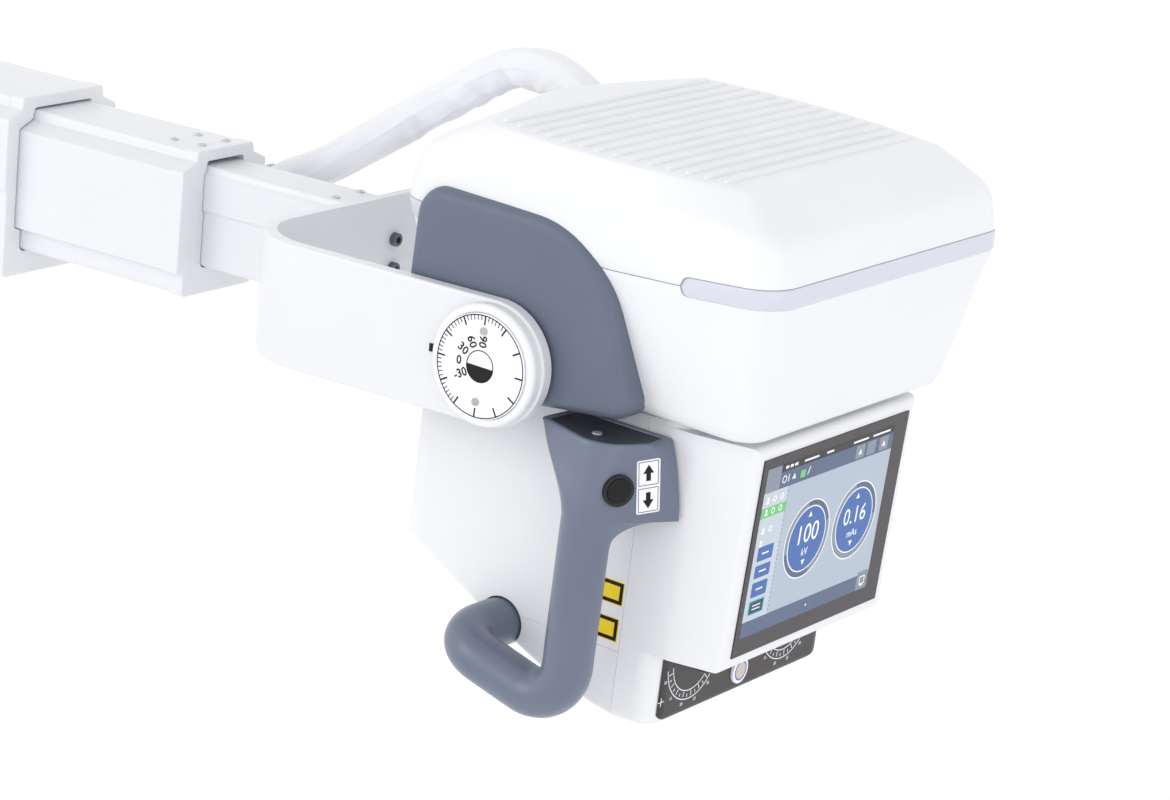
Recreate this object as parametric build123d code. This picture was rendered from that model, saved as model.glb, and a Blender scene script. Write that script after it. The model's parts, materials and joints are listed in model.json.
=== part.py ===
from build123d import *
import math
import os

# Tube head of a mobile X-ray unit on a telescopic arm. Millimetres.
# +X runs along the arm from its root flange to the head, +Y is the far side, +Z is up.
# The origin is the centre of the root flange's back face.

os.makedirs("parts", exist_ok=True)

# ---- where things sit ----
PIVOT_X = 1125.0          # tilt pivot, from the root flange
PIVOT_Z = 10.5            # tilt pivot and roll axis, above the flange centre
HEAD_TILT = 2.0           # the head rests nodded forward by this many degrees

# ---- telescopic arm, x measured from the pivot ----
OUTER_END = -693.0        # front face of the outer collar
MID_END = -481.0          # front face of the middle collar
INNER_END = -300.5        # front end of the inner stage
OUTER_LEN = 420.0
MID_LEN = 392.0
INNER_LEN = 350.0
COLLAR_LEN = 18.0
WALL = 4.0
# half widths (top flat, shoulder foot, side, lower side) and heights of each stage
# (top, shoulder start, shoulder foot, side step, bottom)
OUTER = dict(w=(57.0, 59.0, 78.0, 75.0), z=(79.0, 68.0, 59.0, -10.0, -100.0))
MID = dict(w=(40.0, 42.0, 61.0, 52.0), z=(66.0, 56.5, 48.0, -51.0, -76.0))
INNER = dict(w=(26.0, 27.5, 30.0, 27.5), z=(51.0, 45.0, 42.0, 8.0, -50.0))
PAD_GAP = 0.4             # running gap of the sliding pads

# ---- yoke ----
YOKE_Y = 213.6            # outer face of the fork arms
YOKE_T = 12.0
WEB_X = -287.0            # front face of the web
YOKE_R = 57.0             # half height, and the round ends
YOKE_BEND = 78.0
BOSS_R = 55.0
BOSS_T = 12.4
TRUNNION_R = 18.0
RUN_FIT = 0.05            # radial running clearance

# ---- dial ----
DIAL_R = 47.1
DIAL_FACE = 228.0
DIAL_T = 3.0

# ---- head covers ----
SEAM = [(-400, 106), (95, 106), (185, 113), (265, 121), (400, 121)]
# height, rear, front, half width at the rear and at the front
HEAD_LEVELS = [(-18.0, -105.0, 244.0, 164.0, 168.0),
               (116.0, -138.0, 265.0, 187.0, 197.0),
               (148.0, -132.0, 257.0, 186.5, 193.5),
               (167.0, -122.0, 248.0, 185.0, 187.0),
               (182.0, -105.0, 234.0, 182.0, 178.0),
               (192.5, -88.0, 218.0, 176.0, 165.0),
               (198.0, -66.0, 198.0, 160.0, 148.0)]
TOP_Z = 198.0
CORNER_R = 27.0
LOW_Z = -18.0
LOW_HW = 166.0
LOW_RIM_R = 9.0
SKIN = 3.0
RIBS = 14
RIB_X0, RIB_X1 = -50.0, 175.0
STRIP_H = 18.0
STRIP_X = 172.0           # where the front strip stops on each side

# ---- side pads ----
PAD_FACE = 198.0
PAD_POINTS = [(-112, -50), (-109, 138), (93, 138), (145, -17)]
PAD_FILLETS = [14, 30, 98, 10]

# ---- collimator ----
COL_HW = 148.0
COL_REAR, COL_SEAM, COL_TOP = -124.0, 128.0, -23.0
CHIN = [(-124, -191), (-104, -208), (20, -272), (56, -287), (108, -301), (128, -304)]
CHIN_SEAM_Z = -243.0
PANEL_X, PANEL_HW, PANEL_BOT = 168.0, 144.0, -304.0
HOUSE_X, HOUSE_HW, HOUSE_TOP, HOUSE_BOT = 230.0, 136.0, -28.0, -236.0
FACE_LEAN = 1.8           # the display leans back at its foot
BEZEL_W, BEZEL_H, BEZEL_Z = 245.0, 184.0, -132.0
LCD_W, LCD_H = 215.0, 158.0
LCD_U, LCD_V = -7.7, 4.0   # the screen's centre, off the bezel's centre
KNOBS = (("knob_width", -86.0), ("knob_length", 71.0))
KNOB_Z, KNOB_R, KNOB_SHAFT = -249.0, 11.0, 5.15
LAMP_Y, LAMP_Z, LAMP_R = -4.5, -282.5, 12.6

# ---- beam ----
FOCUS_X = 35.0            # focal spot and beam axis, in front of the pivot
FIELD = 62.0              # half opening of the shutter frame
FIELD_REST = 20.0         # how far each blade's edge stands from the beam axis
BLADE_W = 45.0

# ---- handle ----
TUBE_R = 22.5
GRIP_PATH = [(114, -205, -70), (114, -205, -291), (-9, -207, -259), (2.3, -120, -254)]
GRIP_BENDS = [34, 31]
BRACKET_TOP, BRACKET_BOT = -36.0, -110.0
FACE_A, FACE_B = (133.0, -220.0), (172.0, -150.0)   # plan line of the slanted face
BUTTON = (141.0, -205.0, -76.0)
BUTTON_R = 14.5

# ---- hose ----
HOSE_R = 20.0
HOSE_PATH = [(-516, 118, 2), (-440, 118, 43), (-330, 112, 118), (-177, 95, 217), (-104, 88, 153.5)]
GLAND_R = HOSE_R + 8.6


def frame(part):
    """Move a part from the pivot's frame to the object's frame."""
    return Pos(PIVOT_X, 0, PIVOT_Z) * part


def head(part):
    """Place a part that was drawn in the level head."""
    return frame(Rot(0, HEAD_TILT, 0) * part)


def write(name, part):
    """Save one piece."""
    export_step(part, "parts/" + name + ".step")


def box(x0, x1, y0, y1, z0, z1):
    """Box between two corners."""
    size = Box(x1 - x0, y1 - y0, z1 - z0)
    return Pos((x0 + x1) / 2, (y0 + y1) / 2, (z0 + z1) / 2) * size


def rod(x, y, z, r, length, axis="Z"):
    """Cylinder centred on a point along one axis."""
    turn = {"X": Rot(0, 90, 0), "Y": Rot(90, 0, 0), "Z": Rot(0, 0, 0)}[axis]
    return Pos(x, y, z) * turn * Cylinder(r, length)


def mirror_y(part):
    """The same part on the other side."""
    return mirror(part, about=Plane.XZ)


def side_sketch(points, y0, y1, radii=None):
    """Extrude an outline drawn in X and Z between two Y values."""
    face = make_face(Plane.XZ * Polyline(*points, close=True))
    if radii:
        for point, radius in zip(points, radii):
            corner = face.vertices().sort_by_distance((point[0], 0, point[1]))[0]
            face = fillet(corner, radius)
    return Pos(0, y0, 0) * extrude(face, y1 - y0, dir=(0, 1, 0))


def plan_sketch(points, z0, z1):
    """Extrude an outline drawn in X and Y between two heights."""
    face = make_face(Polyline(*points, close=True))
    return Pos(0, 0, z0) * extrude(face, z1 - z0, dir=(0, 0, 1))


# ------------------------------------------------------------------ arm

def stage_outline(stage, inset):
    """Closed cross-section of one arm stage, moved in by inset."""
    w = [v - inset for v in stage["w"]]
    z = list(stage["z"])
    z[0] -= inset
    z[1] -= inset * 0.6
    z[2] -= inset * 0.6
    z[3] += inset * 0.4
    z[4] += inset
    half = [(w[0], z[0]), (w[1], z[1]), (w[2], z[2]), (w[2], z[3]), (w[3], z[3] - 3.0), (w[3], z[4])]
    other = [(-y, h) for y, h in reversed(half)]
    return half + other


def stage_bar(stage, inset, x0, x1, bend=3.0):
    """Solid bar with a stage's cross-section."""
    points = stage_outline(stage, inset)
    face = make_face(Plane.YZ * Polyline(*points, close=True))
    low = [v for v in face.vertices() if v.Z < stage["z"][4] + inset + 1]
    face = fillet(low, 7.0)
    rest = [v for v in face.vertices() if v.Z > stage["z"][0] - inset - 1]
    face = fillet(rest, bend)
    return Pos(x0, 0, 0) * extrude(face, x1 - x0, dir=(1, 0, 0))


def stage_tube(stage, x0, x1):
    """Thin-walled extrusion of one stage."""
    return stage_bar(stage, 0, x0, x1) - stage_bar(stage, WALL, x0 - 1, x1 + 1)


def collar(outer, inner, end, top_gap):
    """End ring that closes a stage round the next one."""
    ring = stage_bar(outer, -1.2, end - COLLAR_LEN, end)
    ring = fillet(ring.faces().sort_by(Axis.X)[-1].edges(), 1.6)
    lift = dict(w=inner["w"], z=(inner["z"][0] + top_gap,) + tuple(inner["z"][1:]))
    return ring - stage_bar(lift, -1.0, end - COLLAR_LEN - 1, end + 1)


def slide_pads(outer, inner, end):
    """Low-friction pads under and beside the sliding stage."""
    x1 = end - COLLAR_LEN - 4
    x0 = x1 - 40
    floor = outer["z"][4] + WALL
    wide = inner["w"][3] - 9
    pads = [box(x0, x1, s * wide - 7, s * wide + 7, floor, inner["z"][4] - PAD_GAP) for s in (-1, 1)]
    low, high = max(inner["z"][3] + 6, outer["z"][3] + 2), inner["z"][2] - 8
    for s in (-1, 1):
        y0, y1 = inner["w"][2] + PAD_GAP, outer["w"][2] - WALL
        pads.append(box(x0, x1, min(s * y0, s * y1), max(s * y0, s * y1), low, high))
    return Compound(children=pads)


def root_flange():
    """Square plate that bolts the arm to its carriage."""
    plate = box(-1125, -1113, -85, 85, -100.5, 79.5)
    plate = fillet(plate.edges().filter_by(Axis.X), 14)
    for y in (-62, 62):
        for z in (-62, 62):
            plate -= rod(-1119, y, z - 10.5, 5.5, 20, "X")
    return plate - rod(-1119, 0, -10.5, 34, 20, "X")


def pan_screw(x, y, z, r=4.2):
    """Round-head screw with a cross recess, standing up."""
    top = Pos(x, y, z + 0.81) * Cylinder(r, 1.6)
    top = fillet(top.edges().sort_by(Axis.Z)[-1], 0.6)
    shank = Pos(x, y, z - 2.0) * Cylinder(r * 0.45, 4.0)
    cross = Pos(x, y, z + 1.2) * (Box(r * 1.1, 0.8, 1.2) + Box(0.8, r * 1.1, 1.2))
    return top + shank - cross


def screw_holes(part, spots, z, r):
    """Clearance holes for upright screws."""
    for x, y in spots:
        part -= Pos(x, y, z - 2) * Cylinder(r, 12)
    return part


def build_arm():
    """The three stages, their collars, pads and screws."""
    mid_spots = [(x, y) for x in (-532, -497) for y in (-18, 18)]
    inner_spots = [(-329, -19), (-329, 19)]
    write("outer_tube", frame(stage_tube(OUTER, OUTER_END - OUTER_LEN, OUTER_END - COLLAR_LEN - 0.01)))
    write("outer_collar", frame(collar(OUTER, MID, OUTER_END, 1.0)))
    write("outer_pads", frame(slide_pads(OUTER, MID, OUTER_END)))
    write("root_flange", frame(root_flange()))
    tube = stage_tube(MID, MID_END - MID_LEN, MID_END - COLLAR_LEN - 0.01)
    tube = screw_holes(tube, [p for p in mid_spots if p[0] < -510], MID["z"][0], 1.9)
    write("mid_tube", frame(tube))
    ring = collar(MID, INNER, MID_END, 4.0)
    ring = screw_holes(ring, [p for p in mid_spots if p[0] > -510], MID["z"][0] + 1.2, 1.9)
    write("mid_collar", frame(ring))
    write("mid_pads", frame(slide_pads(MID, INNER, MID_END)))
    heads = [pan_screw(x, y, MID["z"][0] + (1.2 if x > -510 else 0)) for x, y in mid_spots]
    write("mid_screws", frame(Compound(children=heads)))
    tube = stage_tube(INNER, INNER_END - INNER_LEN, INNER_END)
    tube = screw_holes(tube, inner_spots, INNER["z"][0], 1.9)
    write("inner_tube", frame(tube))
    heads = [pan_screw(x, y, INNER["z"][0]) for x, y in inner_spots]
    write("inner_screws", frame(Compound(children=heads)))
    block = box(-400, -312, -20, 20, -40, 40)
    block = fillet(block.edges().filter_by(Axis.X), 4)
    for y in (-20, 20):
        block += box(-395, -317, min(y, y * 1.17), max(y, y * 1.17), -36, 3)
    block -= rod(-356, 0, 0, 14 + RUN_FIT, 120, "X")
    write("roll_bearing", frame(block))


# ------------------------------------------------------------------ yoke

def yoke_frame():
    """Bent plate fork with round ends, and the bores of both pivots."""
    back = WEB_X - YOKE_T
    outer = plan_sketch([(back, -YOKE_Y), (60, -YOKE_Y), (60, YOKE_Y), (back, YOKE_Y)], -YOKE_R, YOKE_R)
    bends = outer.edges().filter_by(Axis.Z).sort_by(Axis.X)[:2]
    outer = fillet(bends, YOKE_BEND)
    y = YOKE_Y - YOKE_T
    inner = plan_sketch([(WEB_X, -y), (80, -y), (80, y), (WEB_X, y)], -80, 80)
    bends = inner.edges().filter_by(Axis.Z).sort_by(Axis.X)[:2]
    plate = outer - fillet(bends, YOKE_BEND - YOKE_T)
    side = box(back, 0, -250, 250, -YOKE_R, YOKE_R) + rod(0, 0, 0, YOKE_R, 500, "Y")
    plate = plate & side
    plate -= rod(0, 0, 0, TRUNNION_R + RUN_FIT, 500, "Y")
    rims = plate.edges().filter_by(GeomType.CIRCLE).filter_by(lambda e: abs(e.radius - YOKE_R) < 0.1)
    rims = [e for e in rims if abs(abs(e.center().Y) - YOKE_Y) < 0.5]
    plate = fillet(rims, 2.5)
    for z in (-15, 14):
        plate -= rod(WEB_X, 21, z, 4.2, 40, "X")
    for z in (-14, 14):
        plate -= rod(WEB_X, 122, z, 3.2, 40, "X")
    return plate


def boss(side):
    """Domed ring round the dial on one fork arm."""
    y = side * (YOKE_Y + BOSS_T / 2 + 0.01)
    ring = rod(0, y, 0, BOSS_R, BOSS_T, "Y")
    rim = ring.edges().filter_by(GeomType.CIRCLE).sort_by(lambda e: side * e.center().Y)[-1]
    ring = fillet(rim, 5.0)
    return ring - rod(0, y, 0, DIAL_R + 0.5, 60, "Y")


def socket_screw(x, y, z, r, length, side=1):
    """Socket-head screw along X, its head towards +X."""
    body = rod(x + side * 3, y, z, r, 6, "X")
    body = fillet(body.edges().sort_by(Axis.X)[-1 if side > 0 else 0], 0.8)
    body -= rod(x + side * 5, y, z, r * 0.5, 4, "X")
    return body + rod(x - side * length / 2, y, z, r * 0.6, length, "X")


def cable_bracket():
    """Bent strip on the back of the web that carries the hose clamp."""
    back = WEB_X - YOKE_T
    foot = box(back - 4, back - 0.01, 94, 142, -24, 24)
    strip = box(-512, back - 2, 94, 98, -18, 18)
    part = foot + strip
    part -= rod(back, 122, 14, 3.2, 30, "X") + rod(back, 122, -14, 3.2, 30, "X")
    return part


def hose_frame(i, j):
    """Plane at a hose end, facing along its first run."""
    a, b = Vector(*HOSE_PATH[i]), Vector(*HOSE_PATH[j])
    return Plane(origin=a, z_dir=(b - a))


def hose_clamp():
    """Ring that grips the lower end of the hose."""
    ring = hose_frame(0, 1) * (Cylinder(HOSE_R + 3.5, 16) - Cylinder(HOSE_R - 6, 30))
    cut = hose_frame(0, 1) * (Pos(0, 0, 20) * Cylinder(HOSE_R + 0.3, 40))
    return ring - cut - box(-600, -400, 0, 98.01, -200, 200)


def build_yoke():
    """Everything that rolls with the fork."""
    write("yoke_frame", frame(yoke_frame()))
    write("yoke_bosses", frame(Compound(children=[boss(-1), boss(1)])))
    marks = [box(-65, -58, y - 0.5, y + 0.5, -3.6, 3.6) for y in (-YOKE_Y - 0.51, YOKE_Y + 0.51)]
    write("index_marks", frame(Compound(children=marks)))
    back = WEB_X - YOKE_T
    shaft = rod(back - 3.01, 0, 0, 21.0, 6, "X") + rod(back - 66, 0, 0, 14.0, 120, "X")
    nut = rod(-408, 0, 0, 20, 12, "X") - rod(-408, 0, 0, 14.01, 20, "X")
    write("yoke_shaft", frame(Compound(children=[shaft, nut])))
    screws = [socket_screw(WEB_X + 0.01, 21, z, 6.5, 12) for z in (-15, 14)]
    screws += [socket_screw(back - 4.01, 122, z, 5.0, 14, side=-1) for z in (-14, 14)]
    write("yoke_screws", frame(Compound(children=screws)))
    write("cable_bracket", frame(cable_bracket()))
    write("hose_clamp", frame(hose_clamp()))


def build_hose():
    """Cable sleeve from the yoke's clamp to the head, with tangent bends."""
    points = [Vector(*p) for p in HOSE_PATH]
    radii = []
    for a, b, c in zip(points, points[1:], points[2:]):
        turn = math.radians((b - a).get_angle(c - b))
        run = min((b - a).length, (c - b).length)
        radii.append(0.45 * run / math.tan(turn / 2))
    radii[-1] = (points[-1] - points[-2]).length * 0.92 / math.tan(turn / 2)
    path = FilletPolyline(*points, radius=radii)
    plane = Plane(origin=points[0], z_dir=points[1] - points[0])
    tube = sweep(plane * Circle(HOSE_R), path=path)
    print("hose bend radii", [round(r, 1) for r in radii])
    print("hose volume ratio", round(tube.volume / (math.pi * HOSE_R ** 2 * path.length), 4))
    write("hose", frame(tube))


# ------------------------------------------------------------------ head

def level_face(level, inset):
    """Four-cornered section of the head at one height."""
    z, rear, front, w0, w1 = level
    lift = {LOW_Z: inset, TOP_Z: -inset}.get(z, 0)
    a, b = rear + inset, front - inset
    c, d = w0 - inset, w1 - inset
    face = make_face(Polyline((a, -c), (b, -d), (b, d), (a, c), close=True))
    return Pos(0, 0, z + lift) * fillet(face.vertices(), CORNER_R - inset)


def head_block(inset):
    """The whole outer form of the head as a solid, moved in by inset."""
    block = None
    for low, high in zip(HEAD_LEVELS, HEAD_LEVELS[1:]):
        part = loft([level_face(low, inset), level_face(high, inset)], ruled=True)
        block = part if block is None else block + part
    return block


def soften(block):
    """Round the head's lower rim."""
    rim = [e for e in block.edges() if abs((e @ 0).Z - LOW_Z) < 0.1 and abs((e @ 1).Z - LOW_Z) < 0.1]
    return fillet(rim, LOW_RIM_R)


def above_seam(shift):
    """Everything above the cover seam."""
    points = [(x, z + shift) for x, z in SEAM] + [(400, 400), (-400, 400)]
    return side_sketch(points, -300, 300)


def strip_band(rind, front):
    """The slot that a light strip fills, as a band round the covers."""
    slab = above_seam(-STRIP_H / 2) - above_seam(STRIP_H / 2)
    if front:
        zone = box(STRIP_X, 320, -260, 260, 60, 180)
    else:
        zone = box(-260, -96, -260, 260, 60, 180)
    return rind & slab & zone


def build_covers():
    """Two covers, two light strips and two side pads."""
    full = soften(head_block(0))
    skin = full - head_block(SKIN)
    skin_up = skin & above_seam(0)
    skin_low = skin - above_seam(-0.3)
    rind = full - head_block(1.6)
    bands = [strip_band(rind, True), strip_band(rind, False)]
    for band in bands:
        skin_up -= band
        skin_low -= band
    ribs = [box(x - 2.0, x + 2.0, -138, 138, TOP_Z - 0.5, TOP_Z + 2.0)
            for x in [RIB_X0 + i * (RIB_X1 - RIB_X0) / (RIBS - 1) for i in range(RIBS)]]
    for rib in ribs:
        skin_up += rib
    gland = gland_plane() * Cylinder(GLAND_R + 0.4, 120)
    skin_up -= gland
    trunnion = rod(0, 0, 0, 34.0, 500, "Y")
    skin_low -= trunnion
    neck = rod(35, 0, LOW_Z, 92.0, 60)
    skin_low -= neck
    write("upper_cover", head(skin_up))
    write("lower_cover", head(skin_low))
    write("light_strips", head(Compound(children=bands)))
    pad = side_sketch(PAD_POINTS, -PAD_FACE, -LOW_HW - 0.5, PAD_FILLETS)
    face = pad.faces().sort_by(Axis.Y)[0]
    pad = fillet(face.edges(), 7.5)
    pad = pad - full - rod(0, -180, 0, TRUNNION_R + 8, 120, "Y")
    pad = pad.solids().sort_by(SortBy.VOLUME)[-1]
    write("side_pad_near", head(pad))
    write("side_pad_far", head(mirror_y(pad)))


def gland_plane():
    """Where the hose meets the head, facing out along the hose."""
    a, b = Vector(*HOSE_PATH[-1]), Vector(*HOSE_PATH[-2])
    level = Rot(0, -HEAD_TILT, 0)
    plane = Plane(origin=a, z_dir=(b - a))
    return Plane(level * plane.location)


def build_pivots():
    """Trunnion pins, dials and the inner chassis they carry."""
    pins = []
    for s in (-1, 1):
        pin = rod(0, s * 193.5, 0, TRUNNION_R, 57, "Y")
        pin += rod(0, s * 177, 0, TRUNNION_R + 7, 24, "Y")
        pins.append(pin)
    write("trunnions", head(Compound(children=pins)))
    dials = []
    for s in (-1, 1):
        disc = rod(0, s * (DIAL_FACE - DIAL_T / 2), 0, DIAL_R, DIAL_T, "Y")
        for dx, dz in ((0, 32), (0, -32)):
            disc -= rod(dx, s * DIAL_FACE, dz, 2.2, 20, "Y")
        dials.append(disc)
    write("dials", head(Compound(children=dials)))
    screws = []
    for s in (-1, 1):
        for dz in (32, -32):
            cap = rod(0, s * (DIAL_FACE + 0.75), dz, 3.4, 1.5, "Y")
            screws.append(cap + rod(0, s * (DIAL_FACE - 3), dz, 2.2, 6, "Y"))
    write("dial_screws", head(Compound(children=screws)))
    hubs = []
    for s in (-1, 1):
        hubs.append(rod(0, s * (DIAL_FACE - DIAL_T - 1.51), 0, 40.0, 2.98, "Y"))
    hubs = [h - rod(0, 0, 32, 2.2, 600, "Y") - rod(0, 0, -32, 2.2, 600, "Y") for h in hubs]
    write("dial_hubs", head(Compound(children=hubs)))
    tray = box(-90, 200, -150, 150, 2, 8)
    for s in (-1, 1):
        y0, y1 = sorted((s * 149, s * 156))
        tray += box(-60, 60, y0, y1, -8, 80)
    tray -= rod(35, 0, 5, 60, 40)
    for s in (-1, 1):
        tray += rod(0, s * 157, 0, 30, 15.8, "Y")
    tray -= box(-100, 100, -140, 140, -60, 1.99)
    write("chassis", head(tray))


def build_tube():
    """Lead-lined tube housing with its glass insert and tank."""
    shell = rod(35, 0, 82, 70, 260, "Y") - rod(35, 0, 82, 62, 236, "Y")
    shell += rod(35, 0, 12, 48, 16)
    shell -= rod(35, 0, 5, 30, 40)
    write("tube_housing", head(shell))
    glass = rod(35, 0, 82, 42, 60, "Y") + rod(35, -55, 82, 24, 60, "Y") + rod(35, 55, 82, 24, 60, "Y")
    hollow = rod(35, 0, 82, 39.5, 55, "Y") + rod(35, -53, 82, 21.5, 60, "Y") + rod(35, 53, 82, 21.5, 60, "Y")
    write("tube_insert", head(glass - hollow))
    anode = rod(35, 14, 82, 34, 10, "Y")
    anode = chamfer(anode.edges().filter_by(GeomType.CIRCLE).sort_by(Axis.Y)[0], 5)
    anode += rod(35, 45, 82, 8, 60, "Y")
    write("anode", head(anode))
    cathode = rod(35, -48, 82, 14, 50, "Y") + box(29, 41, -23, -8, 52, 66) + box(32, 38, -27, -20, 56, 82)
    write("cathode", head(cathode))
    tank = box(130, 210, -110, 110, 20, 100)
    tank = fillet(tank.edges().filter_by(Axis.Z), 10)
    write("high_voltage_tank", head(tank))
    gland = Cylinder(GLAND_R, 26) - Pos(0, 0, 10) * Cylinder(HOSE_R + 0.3, 20.1)
    gland = gland - Cylinder(HOSE_R - 5, 60)
    write("hose_gland", head(gland_plane() * gland))


# ------------------------------------------------------------------ collimator

def rear_profile():
    """Side outline of the collimator's rear half."""
    return [(COL_SEAM, COL_TOP), (COL_REAR, COL_TOP)] + CHIN


def rear_block(inset):
    """Rear half of the collimator as a solid, moved in by inset."""
    cx, cz = 36.0, -150.0
    points = []
    for x, z in rear_profile():
        kx = (abs(x - cx) - inset) / abs(x - cx)
        kz = (abs(z - cz) - inset) / abs(z - cz) if abs(z - cz) > 1 else 1
        px = COL_SEAM if x == COL_SEAM else cx + (x - cx) * kx
        points.append((px, cz + (z - cz) * kz))
    solid = side_sketch(points, -COL_HW + inset, COL_HW - inset)
    edges = [e for e in solid.edges()
             if (e @ 0.5).X < COL_REAR + inset + 1 and abs((e @ 0).Z - (e @ 1).Z) > 100]
    solid = fillet(edges, 26.0 - inset)
    low = [e for e in solid.edges() if abs(abs((e @ 0.5).Y) - COL_HW + inset) < 0.1 and (e @ 0.5).Z < -255
           and abs((e @ 0).X - (e @ 1).X) > 5]
    if inset < 1:
        solid = fillet(low, 6.0)
    return solid


def front_block(inset):
    """Front half of the collimator with the display housing, moved in by inset."""
    x0 = COL_SEAM
    body = plan_sketch([(x0, -COL_HW + inset), (PANEL_X - inset, -COL_HW + 3 + inset),
                        (PANEL_X - inset, COL_HW - 3 - inset), (x0, COL_HW - inset)],
                       -305 + inset, COL_TOP - inset)
    fronts = body.edges().filter_by(Axis.Z).sort_by(Axis.X)[-2:]
    body = fillet(fronts, 22.0 - inset)
    top_x = HOUSE_X + 3.2 - inset
    low_x = HOUSE_X - 3.2 - inset
    house = side_sketch([(x0, HOUSE_TOP - inset), (top_x, HOUSE_TOP - inset),
                         (low_x, HOUSE_BOT + inset), (x0, HOUSE_BOT + inset)], -COL_HW, COL_HW)
    wedge = plan_sketch([(x0, -COL_HW + inset), (178, -COL_HW + 3 + inset),
                         (236 - inset, -HOUSE_HW + 3 + inset), (236 - inset, HOUSE_HW - 3 - inset),
                         (178, COL_HW - 3 - inset), (x0, COL_HW - inset)],
                        -300, 0)
    bends = [e for e in wedge.edges().filter_by(Axis.Z) if 170 < e.center().X < 190]
    wedge = fillet(bends, 60.0)
    house = house & wedge
    if inset < 1:
        ring = house.faces().sort_by(Axis.X)[-1].edges()
        house = fillet(ring, 7.0)
        low = body.faces().sort_by(Axis.Z)[0].edges()
        body = fillet([e for e in low if (e @ 0.5).X > x0 + 1], 8.0)
    return body + house


def display_plane():
    """Face of the display, local X across, local Y up, facing out."""
    lean = math.radians(FACE_LEAN)
    out = Vector(math.cos(lean), 0, -math.sin(lean))
    z = BEZEL_Z
    x = HOUSE_X + (z - (HOUSE_TOP + HOUSE_BOT) / 2) * math.tan(lean)
    return Plane(origin=(x, 0, z), x_dir=(0, 1, 0), z_dir=out)


def plate_on_display(width, height, back, front, u=0.0, v=0.0):
    """Rectangular plate parallel to the display face."""
    depth = front - back
    return display_plane() * (Pos(u, v, (front + back) / 2) * Box(width, height, depth))


def panel_holes(part):
    """Holes for the two knob shafts and the lamp button."""
    for name, y in KNOBS:
        part -= rod(PANEL_X, y, KNOB_Z, KNOB_SHAFT + RUN_FIT, 30, "X")
    return part - rod(PANEL_X, LAMP_Y, LAMP_Z, LAMP_R + RUN_FIT, 30, "X")


def build_shells():
    """Collimator skins."""
    rear = rear_block(0) - rear_block(SKIN)
    rear -= box(COL_SEAM - 3.5, COL_SEAM + 1, -COL_HW + SKIN, COL_HW - SKIN, -293, COL_TOP - SKIN)
    rear -= rod(35, 0, COL_TOP, 75, 30)
    for s in (-1, 1):
        rear -= rod(0, s * 132, -255, TUBE_R + 1.2, 44, "Y")
    window = box(-40, 100, -70, 70, -330, -225)
    rear -= window
    cut = box(-70, 200, -200, 200, -330, CHIN_SEAM_Z)
    write("rear_shell", head(rear - cut))
    write("bottom_cover", head((rear & cut) - box(-80, 200, -200, 200, CHIN_SEAM_Z - 0.3, CHIN_SEAM_Z + 1)))
    front = front_block(0) - front_block(SKIN)
    front -= box(COL_SEAM - 1, COL_SEAM + 0.3, -200, 200, -330, 0)
    front -= plate_on_display(BEZEL_W + 0.6, BEZEL_H + 0.6, -1.9, 8)
    front -= plate_on_display(LCD_W + 4, LCD_H + 4, -20, 8, LCD_U, LCD_V)
    front -= scale_panel(0.3, 1.5)
    front = panel_holes(front)
    for y in (-122, 122):
        front -= rod(205, y, HOUSE_TOP, 1.9, 12)
    write("front_shell", head(front))
    screws = [pan_screw(205, y, HOUSE_TOP) for y in (-122, 122)]
    screws += [pan_screw(106, y, BRACKET_TOP - 1.5, 4.6) for y in (-194, 194)]
    write("pan_screws", head(Compound(children=screws)))


def scale_panel(grow, depth):
    """Dark plate under the display with its lower corners rounded."""
    w = PANEL_HW - 4 + grow
    face = Plane(origin=(PANEL_X - depth, 0, 0), x_dir=(0, 1, 0), z_dir=(1, 0, 0))
    foot = PANEL_BOT + 3 - grow
    outline = make_face(Polyline((-w + 3, -238), (-w, foot), (w, foot), (w - 3, -238), close=True))
    corners = outline.vertices().sort_by(Axis.Y)
    outline = fillet(corners[:2], 20 + grow)
    flat = face * outline
    plate = extrude(flat, depth + 0.8, dir=(1, 0, 0))
    keep = front_block(0) + Pos(0.8, 0, 0) * front_block(0)
    return plate & keep


def build_display():
    """Display, its board, the scale panel and what is on it."""
    bezel = plate_on_display(BEZEL_W, BEZEL_H, -1.6, 1.2)
    write("display_bezel", head(bezel))
    write("display_panel", head(plate_on_display(LCD_W, LCD_H, -7.0, -1.7, LCD_U, LCD_V)))
    write("scale_panel", head(panel_holes(scale_panel(0, 1.2))))
    for name, y in KNOBS:
        knob = rod(PANEL_X + 11, y, KNOB_Z, KNOB_R, 18, "X")
        knob = fillet(knob.edges().filter_by(GeomType.CIRCLE), 1.2)
        knob += rod(PANEL_X - 6, y, KNOB_Z, KNOB_SHAFT, 18, "X")
        knob -= box(PANEL_X + 12, PANEL_X + 30, y - 0.6, y + 0.6, KNOB_Z + KNOB_R - 2.5, KNOB_Z + KNOB_R + 1)
        write(name, head(knob))
    button = rod(PANEL_X - 1, LAMP_Y, LAMP_Z, LAMP_R, 9, "X")
    button = fillet(button.edges().filter_by(GeomType.CIRCLE).sort_by(Axis.X)[-1], 0.8)
    write("lamp_button", head(button))


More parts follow.
